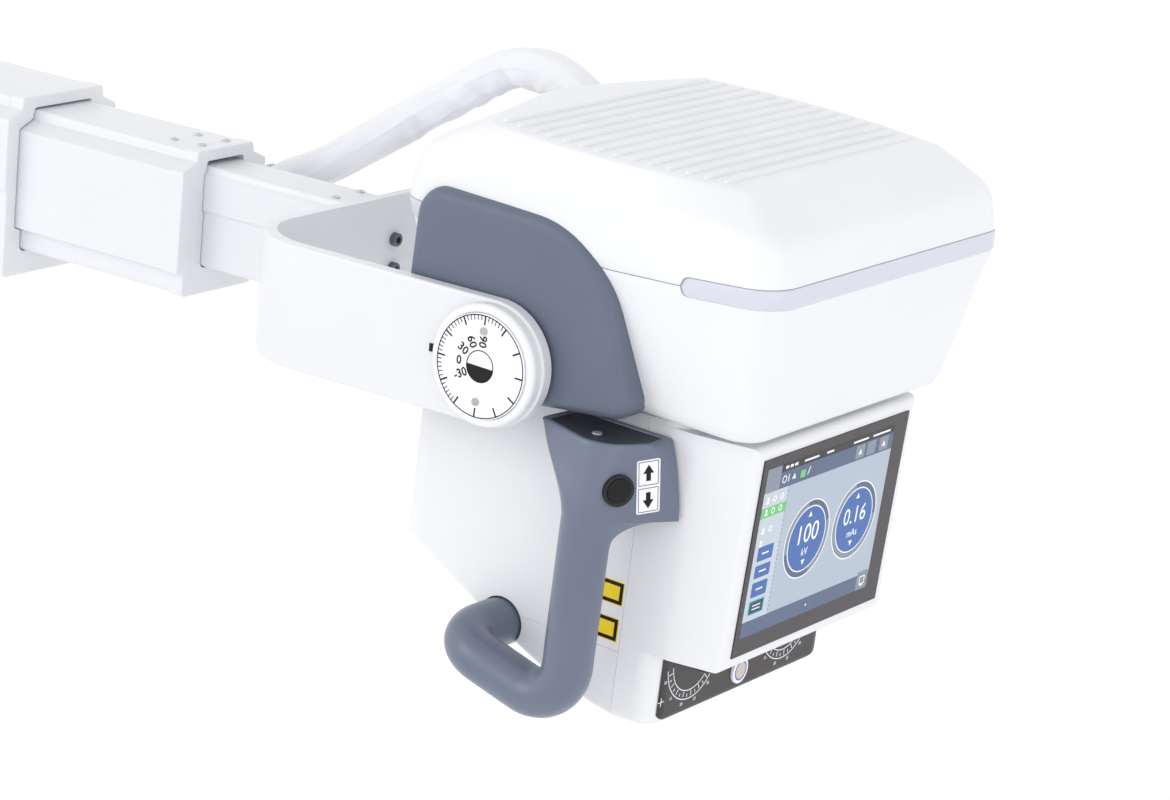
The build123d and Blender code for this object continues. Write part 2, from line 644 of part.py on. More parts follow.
def build_optics():
    """Field light and shutters inside the collimator."""
    lamp = rod(95, 0, -120, 10, 30, "X") + rod(112, 0, -120, 14, 6, "X")
    write("field_lamp", head(lamp))
    mirror_plate = Rot(0, 45, 0) * Box(2, 90, 100)
    write("mirror", head(Pos(35, 0, -120) * mirror_plate))
    base = box(FOCUS_X - 97, FOCUS_X + 97, -133, 133, -222, -214)
    base -= box(FOCUS_X - FIELD, FOCUS_X + FIELD, -FIELD, FIELD, -230, -200)
    for s in (-1, 1):
        y0, y1 = sorted((s * 128, s * 133))
        base += box(FOCUS_X - 60, FOCUS_X + 60, y0, y1, -222, -60)
    write("shutter_frame", head(base))
    near, far = FIELD_REST, FIELD_REST + BLADE_W
    for name, s in (("blade_rear", -1), ("blade_front", 1)):
        x0, x1 = sorted((FOCUS_X + s * near, FOCUS_X + s * far))
        write(name, head(box(x0, x1, -64, 64, -196, -193)))
    for name, s in (("blade_near", -1), ("blade_far", 1)):
        y0, y1 = sorted((s * near, s * far))
        write(name, head(box(FOCUS_X - 64, FOCUS_X + 64, y0, y1, -206, -203)))
    window = rear_block(1.2) - rear_block(4.2)
    write("exit_window", head(window & box(-39.6, 99.6, -69.6, 69.6, -330, -200)))
    neck = rod(35, 0, -15, 74, 20) - rod(35, 0, -15, 60, 40)
    neck += rod(35, 0, -12.5, 88, 5) - rod(35, 0, -12.5, 60, 40)
    write("collimator_neck", head(neck))


# ------------------------------------------------------------------ handles

def face_plane():
    """Slanted button face of the near handle bracket."""
    ax, ay = FACE_A
    bx, by = FACE_B
    run = Vector(bx - ax, by - ay, 0).normalized()
    out = Vector(-run.Y * -1, run.X * -1, 0)
    return Plane(origin=(ax, ay, 0), x_dir=run, z_dir=out)


def handle_near():
    """Tube grip with its bracket, one casting."""
    path = FilletPolyline(*[Vector(*p) for p in GRIP_PATH], radius=GRIP_BENDS)
    plane = Plane(origin=GRIP_PATH[0], z_dir=(0, 0, -1))
    tube = sweep(plane * Circle(TUBE_R), path=path)
    plan = plan_sketch([(40, -200), (118, -227.5), FACE_A, FACE_B, (172, -142), (150, -142),
                        (128.6, -148.6), (40, -148.6)], BRACKET_BOT - 20, BRACKET_TOP)
    corner = [e for e in plan.edges().filter_by(Axis.Z) if abs(e.center().X - FACE_A[0]) < 1]
    plan = fillet(corner, 18)
    side = side_sketch([(43, BRACKET_TOP), (152, BRACKET_TOP), (176, -104), (166, -111), (152, -112),
                        (137, -129), (92, -129), (91.5, -95), (60, -60)], -260, -120,
                       [3, 3, 4, 3, 12, 2, 2, 30, 18])
    bracket = (plan & side) - rod(0, -180, 0, 61.5, 200, "Y")
    inset = Pos(0, 0, BRACKET_TOP) * Pos(105, -186, 0) * Box(70, 46, 3)
    part = tube + bracket
    part -= inset
    body = front_block(0) + rear_block(0)
    part -= body
    part -= face_plane() * (Pos(*button_spot(), 0) * Cylinder(BUTTON_R + 0.2, 14))
    part -= rod(106, -194, BRACKET_TOP - 4, 2.2, 10)
    return part.solids().sort_by(SortBy.VOLUME)[-1]


def button_spot():
    """Button centre in the slanted face's own coordinates."""
    local = face_plane().to_local_coords(Vector(*BUTTON))
    return local.X, local.Y


def on_face(part):
    """Place a part on the slanted face at the button."""
    u, v = button_spot()
    return face_plane() * (Pos(u, v, 0) * part)


def build_handles():
    """Both handles, their buttons, trim and screws."""
    grip = handle_near()
    ring = on_face(Cylinder(BUTTON_R, 6.0) - Cylinder(11.6, 20))
    cap = Cylinder(11.3, 6.5)
    cap = fillet(cap.edges().filter_by(GeomType.CIRCLE).sort_by(Axis.Z)[-1], 1.0)
    cap = on_face(Pos(0, 0, 1.0) * cap)
    plate = Box(25, 51, 0.7)
    plate = fillet(plate.edges().filter_by(Axis.Z), 2.0)
    u, v = button_spot()
    label = face_plane() * (Pos(u + 29, v + 2.5, 0.36) * plate)
    for name, part in (("handle", grip), ("button", cap)):
        write(name + "_near", head(part))
        write(name + "_far", head(mirror_y(part)))
    for name, part in (("button_rings", ring), ("arrow_labels", label)):
        write(name, head(Compound(children=[part, mirror_y(part)])))


build_arm()
build_yoke()
build_hose()
build_covers()
build_pivots()
build_tube()
build_shells()
build_display()
build_optics()
build_handles()
print("written", len(os.listdir("parts")))
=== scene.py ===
import json
import math

import bpy
from mathutils import Matrix, Vector


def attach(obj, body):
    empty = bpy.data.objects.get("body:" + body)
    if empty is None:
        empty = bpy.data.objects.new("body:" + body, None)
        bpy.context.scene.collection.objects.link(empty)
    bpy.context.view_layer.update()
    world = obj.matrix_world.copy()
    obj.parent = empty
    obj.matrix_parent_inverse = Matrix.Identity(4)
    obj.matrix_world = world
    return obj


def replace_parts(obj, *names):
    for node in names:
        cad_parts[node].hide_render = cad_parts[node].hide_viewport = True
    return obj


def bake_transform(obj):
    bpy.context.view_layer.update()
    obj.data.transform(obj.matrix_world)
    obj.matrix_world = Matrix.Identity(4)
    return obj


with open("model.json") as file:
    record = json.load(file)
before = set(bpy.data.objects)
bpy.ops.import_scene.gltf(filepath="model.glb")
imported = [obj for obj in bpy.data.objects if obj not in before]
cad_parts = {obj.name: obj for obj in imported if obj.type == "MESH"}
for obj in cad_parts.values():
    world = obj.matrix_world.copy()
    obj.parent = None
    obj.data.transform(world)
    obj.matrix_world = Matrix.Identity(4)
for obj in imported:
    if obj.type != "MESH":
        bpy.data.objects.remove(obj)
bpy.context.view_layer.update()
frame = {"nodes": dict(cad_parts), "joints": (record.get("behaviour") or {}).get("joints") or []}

MM = 0.001
JOINTS = {j["name"]: j for j in frame["joints"]}
PIVOT = Vector(JOINTS["head_tilt"]["pos_m"])
HEAD_TILT = math.radians(2.0)  # the head rests nodded forward
ARM = Matrix.Translation(PIVOT) @ Matrix.Scale(MM, 4)  # millimetres from the tilt pivot
HEAD = Matrix.Translation(PIVOT) @ Matrix.Rotation(HEAD_TILT, 4, "Y") @ Matrix.Scale(MM, 4)


# -------- camera and stage

LENS, SENSOR = 119.0, 36.0  # mm
VIEW_AZIMUTH, VIEW_ELEVATION, VIEW_ROLL = 33.31, 16.12, -5.64  # degrees
VIEW_ASIDE, VIEW_DROP, VIEW_AWAY = -39.09, -69.09, 3515.0  # mm from the pivot, in the camera's axes


def make_camera():
    """Camera at the photograph's angle, placed from the tilt pivot."""
    a, e = math.radians(VIEW_AZIMUTH), math.radians(VIEW_ELEVATION)
    t = math.radians(VIEW_ROLL)
    back = Vector((math.sin(a) * math.cos(e), -math.cos(a) * math.cos(e), math.sin(e)))
    level = Vector((math.cos(a), math.sin(a), 0.0))
    rise = Vector((-math.sin(a) * math.sin(e), math.cos(a) * math.sin(e), math.cos(e)))
    right = math.cos(t) * level - math.sin(t) * rise
    up = math.sin(t) * level + math.cos(t) * rise
    data = bpy.data.cameras.new("camera")
    data.lens = LENS
    data.sensor_width = SENSOR
    data.clip_start, data.clip_end = 0.05, 60.0
    camera = bpy.data.objects.new("camera", data)
    bpy.context.scene.collection.objects.link(camera)
    spot = PIVOT + (VIEW_ASIDE * right + VIEW_DROP * up + VIEW_AWAY * back) * MM
    turn = Matrix((right, up, back)).transposed().to_4x4()
    camera.matrix_world = Matrix.Translation(spot) @ turn
    bpy.context.scene.camera = camera


# name, place and size in metres, power in watts
LIGHTS = (("key", (-1.2, -3.4, 1.4), 2.4, 34.0), ("fill", (3.8, -1.6, 0.6), 2.2, 12.0))


def make_light(name, spot, size, power):
    """Square area light that faces the head and isn't seen itself."""
    data = bpy.data.lights.new(name, "AREA")
    data.shape = "SQUARE"
    data.size = size
    data.energy = power
    lamp = bpy.data.objects.new(name, data)
    bpy.context.scene.collection.objects.link(lamp)
    lamp.location = spot
    lamp.visible_camera = False
    aim = PIVOT - Vector(spot)
    lamp.rotation_mode = "QUATERNION"
    lamp.rotation_quaternion = aim.to_track_quat("-Z", "Y")


FLOOR_Z, WALL_Y, WALL_CURVE, WALL_STEPS = -4.5, 16.0, 6.0, 12  # metres and steps of the curve
STAGE_BACK, STAGE_SIDE, STAGE_RISE = -24.0, 30.0, 20.0
SKY_COLOUR = (0.985, 0.990, 1.0, 1.0)
SKY_LOW, SKY_HIGH = 1.18, 0.83  # brightness of the studio at the horizon and overhead
SKY_START = 0.15  # height, out of 1, where the one starts to fade into the other


def make_backdrop():
    """Pale floor that curves up into a wall behind the object."""
    profile = [(STAGE_BACK, FLOOR_Z), (WALL_Y - WALL_CURVE, FLOOR_Z)]
    for i in range(1, WALL_STEPS + 1):
        a = math.radians(90 * i / WALL_STEPS)
        profile.append((WALL_Y - WALL_CURVE * (1 - math.sin(a)), FLOOR_Z + WALL_CURVE * (1 - math.cos(a))))
    profile.append((WALL_Y, FLOOR_Z + STAGE_RISE))
    mesh = bpy.data.meshes.new("floor")
    verts = [(x, y, z) for y, z in profile for x in (-STAGE_SIDE, STAGE_SIDE)]
    faces = [(2 * i, 2 * i + 1, 2 * i + 3, 2 * i + 2) for i in range(len(profile) - 1)]
    mesh.from_pydata(verts, [], faces)
    floor = bpy.data.objects.new("floor", mesh)
    floor.rotation_euler = (0, 0, math.radians(VIEW_AZIMUTH))
    bpy.context.scene.collection.objects.link(floor)
    floor.data.materials.append(STAGE_PAPER)


def make_sky():
    """Bright world that is a little darker overhead."""
    world = bpy.data.worlds.new("studio")
    world.use_nodes = True
    nodes, links = world.node_tree.nodes, world.node_tree.links
    place = nodes.new("ShaderNodeTexCoord")
    parts = nodes.new("ShaderNodeSeparateXYZ")
    links.new(place.outputs["Generated"], parts.inputs["Vector"])
    fade = nodes.new("ShaderNodeMapRange")
    fade.inputs["From Min"].default_value = SKY_START
    fade.inputs["From Max"].default_value = 1.0
    fade.inputs["To Min"].default_value = SKY_LOW
    fade.inputs["To Max"].default_value = SKY_HIGH
    links.new(parts.outputs["Z"], fade.inputs["Value"])
    sky = nodes["Background"]
    sky.inputs["Color"].default_value = SKY_COLOUR
    links.new(fade.outputs["Result"], sky.inputs["Strength"])
    bpy.context.scene.world = world
    bpy.context.scene.view_settings.view_transform = "Standard"


def make_stage():
    """The white studio round the object."""
    make_backdrop()
    make_sky()
    for light in LIGHTS:
        make_light(*light)


# -------- materials

def principled(name, rgb, rough, metallic=0.0, **sockets):
    """New material with plain values on its shader's own sockets."""
    mat = bpy.data.materials.new(name)
    mat.use_nodes = True
    shader = mat.node_tree.nodes["Principled BSDF"]
    shader.inputs["Base Color"].default_value = (*rgb, 1.0)
    shader.inputs["Roughness"].default_value = rough
    shader.inputs["Metallic"].default_value = metallic
    for socket, value in sockets.items():
        shader.inputs[socket.replace("_", " ")].default_value = value
    return mat, mat.node_tree.nodes, mat.node_tree.links, shader


COLOUR_PATCHES, GLOSS_PATCHES = 9.0, 35.0  # features per metre of the slow variation
GRAIN_HEIGHT = 0.0002  # metres


def noise(nodes, links, scale, detail):
    """Noise over the piece's own space, in features per metre."""
    place = nodes.new("ShaderNodeTexCoord")
    cloud = nodes.new("ShaderNodeTexNoise")
    cloud.inputs["Scale"].default_value = scale
    cloud.inputs["Detail"].default_value = detail
    links.new(place.outputs["Object"], cloud.inputs["Vector"])
    return cloud.outputs["Fac"]


def spread(nodes, links, value, low, high):
    """Maps the middle of a noise onto a range."""
    ramp = nodes.new("ShaderNodeMapRange")
    ramp.inputs["From Min"].default_value = 0.3
    ramp.inputs["From Max"].default_value = 0.7
    ramp.inputs["To Min"].default_value = low
    ramp.inputs["To Max"].default_value = high
    links.new(value, ramp.inputs["Value"])
    return ramp.outputs["Result"]


def textured(name, rgb, rough, grain, bump, tint, wear, **sockets):
    """Surface with slow colour and gloss variation over a fine grain."""
    mat, nodes, links, shader = principled(name, rgb, rough, **sockets)
    slow = noise(nodes, links, COLOUR_PATCHES, 4.0)
    shade = nodes.new("ShaderNodeMix")
    shade.data_type = "RGBA"
    shade.inputs["A"].default_value = (*[c * (1 - tint) for c in rgb], 1.0)
    shade.inputs["B"].default_value = (*[min(1.0, c * (1 + tint)) for c in rgb], 1.0)
    links.new(spread(nodes, links, slow, 0.0, 1.0), shade.inputs["Factor"])
    links.new(shade.outputs["Result"], shader.inputs["Base Color"])
    smear = noise(nodes, links, GLOSS_PATCHES, 5.0)
    links.new(spread(nodes, links, smear, rough - wear, rough + wear), shader.inputs["Roughness"])
    fine = noise(nodes, links, grain, 2.0)
    relief = nodes.new("ShaderNodeBump")
    relief.inputs["Strength"].default_value = bump
    relief.inputs["Distance"].default_value = GRAIN_HEIGHT
    links.new(fine, relief.inputs["Height"])
    links.new(relief.outputs["Normal"], shader.inputs["Normal"])
    return mat


STAGE_PAPER = principled("stage_paper", (0.97, 0.972, 0.978), 0.9, Emission_Color=(1.0, 1.0, 1.0, 1.0),
                         Emission_Strength=0.07)[0]
# colour, roughness, grain per metre and its strength, then how far the colour and the gloss vary
ENAMEL = textured("white_enamel", (0.752, 0.759, 0.784), 0.36, 420, 0.10, 0.012, 0.05,
                  Coat_Weight=0.25, Coat_Roughness=0.25)
COVER = textured("white_cover", (0.80, 0.806, 0.826), 0.40, 900, 0.12, 0.010, 0.05, Coat_Weight=0.12,
                 Coat_Roughness=0.3)
SHELL = textured("white_shell", (0.795, 0.801, 0.822), 0.42, 900, 0.12, 0.010, 0.05, Coat_Weight=0.1,
                 Coat_Roughness=0.3)
PAD = textured("grey_pad", (0.108, 0.130, 0.186), 0.46, 1500, 0.35, 0.04, 0.06, Sheen_Weight=0.10,
               Sheen_Roughness=0.5)
GRIP = textured("grey_grip", (0.126, 0.152, 0.216), 0.36, 1500, 0.25, 0.05, 0.06, Coat_Weight=0.25,
                Coat_Roughness=0.28)
# painted shade: the dark plate in each bracket's recess stands in for the shade that the pad above casts on the
# recess floor
PAINTED_RECESS_SHADE = textured("bracket_recess_painted_shade", (0.040, 0.046, 0.062), 0.5, 1500, 0.3, 0.05, 0.06)
STRIP = textured("light_strip", (0.62, 0.63, 0.72), 0.30, 900, 0.02, 0.004, 0.02, Coat_Weight=0.3,
                 Coat_Roughness=0.15)
# painted shadow: the dark band along each light strip's top stands in for the shade under the upper cover's
# overhang
STRIP_SHADOW = textured("strip_painted_shadow", (0.30, 0.30, 0.35), 0.5, 900, 0.1, 0.05, 0.05)
SCREW = textured("small_screw", (0.62, 0.62, 0.64), 0.30, 900, 0.1, 0.05, 0.08, metallic=0.7)
STEEL = textured("plated_steel", (0.50, 0.50, 0.51), 0.30, 700, 0.20, 0.08, 0.10, metallic=1.0)
DARK_STEEL = textured("dark_screw", (0.16, 0.16, 0.17), 0.38, 700, 0.2, 0.10, 0.10, metallic=0.8)
SLIDER = textured("slide_plastic", (0.035, 0.035, 0.038), 0.45, 900, 0.2, 0.05, 0.08)
DIAL_WHITE = textured("dial_white", (0.86, 0.86, 0.885), 0.34, 700, 0.06, 0.008, 0.04)
INK = textured("black_print", (0.008, 0.007, 0.009), 0.55, 900, 0.1, 0.05, 0.05,
               Specular_IOR_Level=0.25)
BEZEL = textured("display_bezel", (0.030, 0.023, 0.026), 0.32, 2500, 0.015, 0.03, 0.01, Coat_Weight=0.1,
                 Coat_Roughness=0.25)
PANEL = textured("scale_panel", (0.034, 0.027, 0.030), 0.38, 2500, 0.02, 0.03, 0.01)
BUTTON = textured("black_button", (0.004, 0.004, 0.005), 0.22, 700, 0.03, 0.05, 0.04, Specular_IOR_Level=0.3)
RING = textured("button_ring", (0.012, 0.013, 0.017), 0.30, 900, 0.1, 0.05, 0.06,
                Specular_IOR_Level=0.35)
ALLOY = textured("machined_alloy", (0.62, 0.62, 0.63), 0.34, 600, 0.25, 0.05, 0.10, metallic=1.0)
HOUSING = textured("housing_paint", (0.30, 0.31, 0.33), 0.48, 500, 0.3, 0.04, 0.08)
TARGET = textured("target_metal", (0.30, 0.29, 0.28), 0.40, 800, 0.3, 0.08, 0.10, metallic=1.0)
LEAD = textured("lead_sheet", (0.20, 0.21, 0.23), 0.55, 300, 0.4, 0.10, 0.12, metallic=0.9)
GLASS = principled("insert_glass", (0.86, 0.90, 0.90), 0.05, Transmission_Weight=0.9, IOR=1.47)[0]
MIRROR = textured("mirror_plate", (0.85, 0.86, 0.88), 0.06, 200, 0.02, 0.01, 0.02, metallic=1.0)
WINDOW = textured("exit_window", (0.50, 0.47, 0.40), 0.30, 600, 0.1, 0.03, 0.05)
SLEEVE = textured("hose_sleeve", (0.80, 0.806, 0.832), 0.56, 1400, 0.4, 0.02, 0.06, Sheen_Weight=0.2,
                  Sheen_Roughness=0.4)
BUTTON_BLUE = textured("button_blue", (0.10, 0.16, 0.62), 0.25, 900, 0.05, 0.03, 0.04)
BUTTON_BEIGE = textured("button_beige", (0.60, 0.50, 0.42), 0.32, 900, 0.05, 0.03, 0.04)
LABEL_YELLOW = textured("label_yellow", (0.90, 0.66, 0.012), 0.38, 900, 0.06, 0.03, 0.05)

# the CAD nodes that are shown, by material
LOOKS = (
    (ENAMEL, "outer_tube outer_collar mid_tube mid_collar inner_tube root_flange yoke_frame cable_bracket"),
    (COVER, "yoke_bosses"),
    (SHELL, "rear_shell bottom_cover front_shell"),
    (SCREW, "mid_screws inner_screws pan_screws"),
    (DARK_STEEL, "yoke_screws"),
    (STEEL, "dial_screws yoke_shaft trunnions hose_clamp"),
    (ALLOY, "roll_bearing chassis collimator_neck field_lamp shutter_frame"),
    (SLIDER, "outer_pads mid_pads dial_hubs"),
    (DIAL_WHITE, "dials lamp_button"),
    (INK, "index_marks"),
    (BEZEL, "display_bezel display_panel"),
    (PANEL, "scale_panel"),
    (RING, "knob_width knob_length button_rings hose_gland"),
    (BUTTON, "button_near button_far"),
    (HOUSING, "tube_housing high_voltage_tank"),
    (TARGET, "anode cathode"),
    (GLASS, "tube_insert"),
    (LEAD, "blade_near blade_far blade_rear blade_front"),
    (MIRROR, "mirror"),
    (WINDOW, "exit_window"),
)


def dress_nodes():
    """Gives each CAD piece its material."""
    for look, names in LOOKS:
        for name in names.split():
            mesh = frame["nodes"][name].data
            mesh.materials.clear()
            mesh.materials.append(look)


# width of the rounding on the edges of the arm's pieces, in mm
EDGE_ROUNDING = {"outer_tube": 3.0, "mid_tube": 3.0, "inner_tube": 3.0,
                 "outer_collar": 1.6, "mid_collar": 1.6, "root_flange": 1.0}
JOIN_GAP, FLAT_ANGLE, EDGE_ANGLE = 0.01, 2.0, 25.0  # mm, then degrees


def round_edges():
    """Breaks the long edges of the telescopic arm, as its extrusions and castings have them."""
    for name, width in EDGE_ROUNDING.items():
        node = frame["nodes"][name]
        join = node.modifiers.new("join", "WELD")
        join.merge_threshold = JOIN_GAP * MM
        flat = node.modifiers.new("flat", "DECIMATE")
        flat.decimate_type = "DISSOLVE"
        flat.angle_limit = math.radians(FLAT_ANGLE)
        soft = node.modifiers.new("round", "BEVEL")
        soft.width = width * MM
        soft.segments = 3
        soft.limit_method = "ANGLE"
        soft.angle_limit = math.radians(EDGE_ANGLE)
        soft.miter_outer = "MITER_ARC"


# -------- mesh helpers

def new_object(name, verts, faces, look, sharp, mirrored=False):
    """Smooth mesh with its edges above an angle kept sharp, in metres."""
    mesh = bpy.data.meshes.new(name)
    mesh.from_pydata(verts, [], faces)
    if mirrored:
        mesh.flip_normals()
    for face in mesh.polygons:
        face.use_smooth = True
    mesh.set_sharp_from_angle(angle=math.radians(sharp))
    mesh.materials.append(look)
    piece = bpy.data.objects.new(name, mesh)
    bpy.context.scene.collection.objects.link(piece)
    return piece


def add_piece(name, verts, faces, look, body, place=HEAD, sharp=38.0, replaces=()):
    """Makes a mesh piece from points in a local frame, in mm, and lets it ride on a body."""
    mirrored = place.to_3x3().determinant() < 0
    piece = new_object(name, [place @ Vector(v) for v in verts], faces, look, sharp, mirrored)
    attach(piece, body)
    if replaces:
        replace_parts(piece, *replaces)
    return piece


def loft(rings, low_cap=True, high_cap=True):
    """Joins closed rings of the same count, bottom to top, into vertices and faces."""
    count = len(rings[0])
    verts = [p for ring in rings for p in ring]
    faces = []
    for k in range(len(rings) - 1):
        for i in range(count):
            j = (i + 1) % count
            faces.append((k * count + i, k * count + j, (k + 1) * count + j, (k + 1) * count + i))
    if low_cap:
        faces.append(tuple(reversed(range(count))))
    if high_cap:
        faces.append(tuple(range((len(rings) - 1) * count, len(rings) * count)))
    return verts, faces


def hermite(points, z):
    """Smooth value between (z, value) points, with central slopes."""
    z = min(max(z, points[0][0]), points[-1][0])
    k = 0
    while k < len(points) - 2 and z > points[k + 1][0]:
        k += 1
    (z0, a), (z1, b) = points[k], points[k + 1]

    def slope(n):
        low, high = points[max(n - 1, 0)], points[min(n + 1, len(points) - 1)]
        return (high[1] - low[1]) / (high[0] - low[0])

    t = (z - z0) / (z1 - z0)
    m0, m1 = slope(k) * (z1 - z0), slope(k + 1) * (z1 - z0)
    return ((2 * t ** 3 - 3 * t ** 2 + 1) * a + (t ** 3 - 2 * t ** 2 + t) * m0
            + (3 * t ** 2 - 2 * t ** 3) * b + (t ** 3 - t ** 2) * m1)


def curve_mesh(curve):
    """Points and faces that Blender makes of a curve, which is then removed."""
    holder = bpy.data.objects.new("holder", curve)
    mesh = bpy.data.meshes.new_from_object(holder)
    points = [v.co.copy() for v in mesh.vertices]
    faces = [tuple(face.vertices) for face in mesh.polygons]
    bpy.data.meshes.remove(mesh)
    bpy.data.objects.remove(holder)
    bpy.data.curves.remove(curve)
    return points, faces


def around(u, v, r, a):
    """Point at a distance and an angle from (u, v)."""
    return u + r * math.cos(a), v + r * math.sin(a)


class Print:
    """Thin raised shapes on one plane, gathered into one piece; lengths in mm."""

    def __init__(self, low, high):
        self.low, self.high = low, high
        self.verts, self.faces = [], []

    def poly(self, points):
        """Prism over a counter-clockwise outline."""
        verts, faces = loft([[(u, v, self.low) for u, v in points], [(u, v, self.high) for u, v in points]])
        self.add(verts, faces)

    def add(self, verts, faces):
        """Takes in more points and the faces between them."""
        start = len(self.verts)
        self.verts += verts
        self.faces += [tuple(start + i for i in face) for face in faces]

    def rect(self, u0, v0, u1, v1, r=0.0):
        """Rectangle, with rounded corners if r is set."""
        if r == 0:
            self.poly([(u0, v0), (u1, v0), (u1, v1), (u0, v1)])
            return
        corners = ((u1 - r, v0 + r, -90), (u1 - r, v1 - r, 0), (u0 + r, v1 - r, 90), (u0 + r, v0 + r, 180))
        self.poly([around(cu, cv, r, math.radians(start + 18 * k))
                   for cu, cv, start in corners for k in range(6)])

    def frame(self, u0, v0, u1, v1, line):
        """Outline of a rectangle."""
        self.rect(u0, v0, u1, v0 + line)
        self.rect(u0, v1 - line, u1, v1)
        self.rect(u0, v0 + line, u0 + line, v1 - line)
        self.rect(u1 - line, v0 + line, u1, v1 - line)

    def disc(self, u, v, r, count=72):
        """Filled circle."""
        self.poly([around(u, v, r, math.tau * k / count) for k in range(count)])

    def half(self, u, v, r, count=36):
        """Lower half of a filled circle."""
        self.poly([around(u, v, r, math.pi + math.pi * k / count) for k in range(count + 1)])

    def arc(self, u, v, r0, r1, start, end):
        """Part of a ring between two angles in degrees."""
        steps = max(4, int(abs(end - start) / 4))
        turn = [math.radians(start + (end - start) * k / steps) for k in range(steps + 1)]
        out = [around(u, v, r1, a) for a in turn]
        back = [around(u, v, r0, a) for a in reversed(turn)]
        if abs(end - start) < 359.9:
            self.poly(out + back)
            return
        for k in range(steps):
            self.poly([out[k], out[k + 1], back[steps - k - 1], back[steps - k]])

    def line(self, u0, v0, u1, v1, width):
        """Straight stroke."""
        run = math.hypot(u1 - u0, v1 - v0)
        nu, nv = -(v1 - v0) / run * width / 2, (u1 - u0) / run * width / 2
        self.poly([(u0 - nu, v0 - nv), (u1 - nu, v1 - nv), (u1 + nu, v1 + nv), (u0 + nu, v0 + nv)])

    def arrow(self, u, v, size, up=True):
        """Filled triangle that points up or down."""
        s = size if up else -size
        points = [(u - size * 0.6, v - s * 0.5), (u + size * 0.6, v - s * 0.5), (u, v + s * 0.5)]
        self.poly(points if up else list(reversed(points)))

    def text(self, words, u, v, size, turn=0.0, weight=0.0):
        """Centred figures, turned by degrees."""
        curve = bpy.data.curves.new("lettering", "FONT")
        curve.body = words
        curve.size = size
        curve.align_x, curve.align_y = "CENTER", "CENTER"
        curve.extrude = (self.high - self.low) / 2
        curve.offset = weight
        curve.resolution_u = 3
        points, faces = curve_mesh(curve)
        rise = (self.high + self.low) / 2
        cos, sin = math.cos(math.radians(turn)), math.sin(math.radians(turn))
        self.add([(u + x * cos - y * sin, v + x * sin + y * cos, rise + z) for x, y, z in points], faces)

    def make(self, name, look, body, slot, place):
        """Turns what was gathered into a piece."""
        return add_piece(name, self.verts, self.faces, look, body, place, sharp=30.0)


def plane(origin, across, up, base=HEAD):
    """Frame of a flat face from its centre, its right and its up, in its base frame."""
    across, up = Vector(across).normalized(), Vector(up).normalized()
    out = across.cross(up)
    turn = Matrix((across, up, out)).transposed().to_4x4()
    return base @ Matrix.Translation(origin) @ turn


# -------- hose

HOSE_ROUTE = [(-516, 118, 2), (-440, 118, 43), (-330, 112, 118), (-177, 95, 217), (-104, 88, 153.5)]
HOSE_LENGTH, HOSE_R = 0.475, 20.0  # metres, mm
SLEEVE_GAP = 0.9  # mm that the fabric lies inside that radius
HOSE_STEP, HOSE_AROUND = 2.0, 128  # mm along it and points around it


def hose_centreline():
    """Points read from the hose's own smooth spline."""
    curve = bpy.data.curves.new("hose_line", "CURVE")
    curve.dimensions = "3D"
    curve.resolution_u = 48
    spline = curve.splines.new("NURBS")
    spline.points.add(len(HOSE_ROUTE) - 1)
    for point, spot in zip(spline.points, HOSE_ROUTE):
        point.co = (*(ARM @ Vector(spot)), 1.0)
    spline.order_u = 3
    spline.use_endpoint_u = True
    return curve_mesh(curve)[0]


def even_steps(line, step):
    """The same line with points an even distance apart."""
    out, rest = [line[0]], 0.0
    for a, b in zip(line, line[1:]):
        run = (b - a).length
        at = step - rest
        while at < run:
            out.append(a.lerp(b, at / run))
            at += step
        rest = run - (at - step)
    if (out[-1] - line[-1]).length > step * 0.3:
        out.append(line[-1])
    else:
        out[-1] = line[-1]
    return out


def tube_frames(line):
    """Each point with its side and its up, without twist."""
    frames, up = [], Vector((0, 0, 1))
    for k, point in enumerate(line):
        ahead = line[min(k + 1, len(line) - 1)] - line[max(k - 1, 0)]
        ahead.normalize()
        up = (up - up.dot(ahead) * ahead).normalized()
        frames.append((point, ahead.cross(up), up))
    return frames


# angle from the top, width, height and drift of each lengthwise crease, in radians and mm
CREASES = [(0.35, 0.11, 1.8, 0.5), (0.95, 0.08, 1.5, 0.8), (-0.45, 0.12, 1.4, -0.3), (1.65, 0.09, 1.3, -0.6),
           (2.5, 0.13, 1.2, -0.5), (-1.5, 0.12, 1.3, 0.6), (-2.4, 0.14, 1.2, 0.4)]
FOLD_SIDE = 2.4  # where the folds are, in radians from the top, towards the near side
# place along the sleeve, width, height and slant of each fold under its bends; heights in mm
FOLDS = [(0.36, 0.022, 1.5, 0.03), (0.44, 0.018, 2.2, -0.02), (0.505, 0.024, 2.4, 0.04),
         (0.60, 0.017, 3.0, 0.03), (0.645, 0.013, -1.6, 0.03), (0.69, 0.020, 3.4, -0.02),
         (0.735, 0.012, -1.8, 0.01), (0.775, 0.016, 3.2, 0.035), (0.83, 0.014, 2.4, -0.03),
         (0.885, 0.020, 2.0, 0.02)]
WAVE = 0.8  # height of the fabric's slow waves, in mm


def hose_swell(s, angle):
    """How far the fabric stands off its radius, in mm, at s (0 to 1) and an angle from the top."""
    swell = 0.0
    for place, width, height, drift in CREASES:
        off = abs(math.remainder(angle - place - drift * (s - 0.4), math.tau))
        swell += height * math.exp(-(off / width) ** 1.3) * (0.65 + 0.35 * math.sin(s * 19 + 4 * place))
    lean = math.remainder(angle - FOLD_SIDE, math.tau)
    under = max(0.0, math.cos(lean)) ** 1.2
    for place, width, height, slant in FOLDS:
        swell += height * under * math.exp(-((s - place - slant * lean) / width) ** 2)
    swell += WAVE * math.sin(s * 23 + angle * 2.0) * math.sin(angle * 3.0 + s * 9.0)
    ends = min(1.0, s / 0.05, (1.0 - s) / 0.04)
    return swell * ends


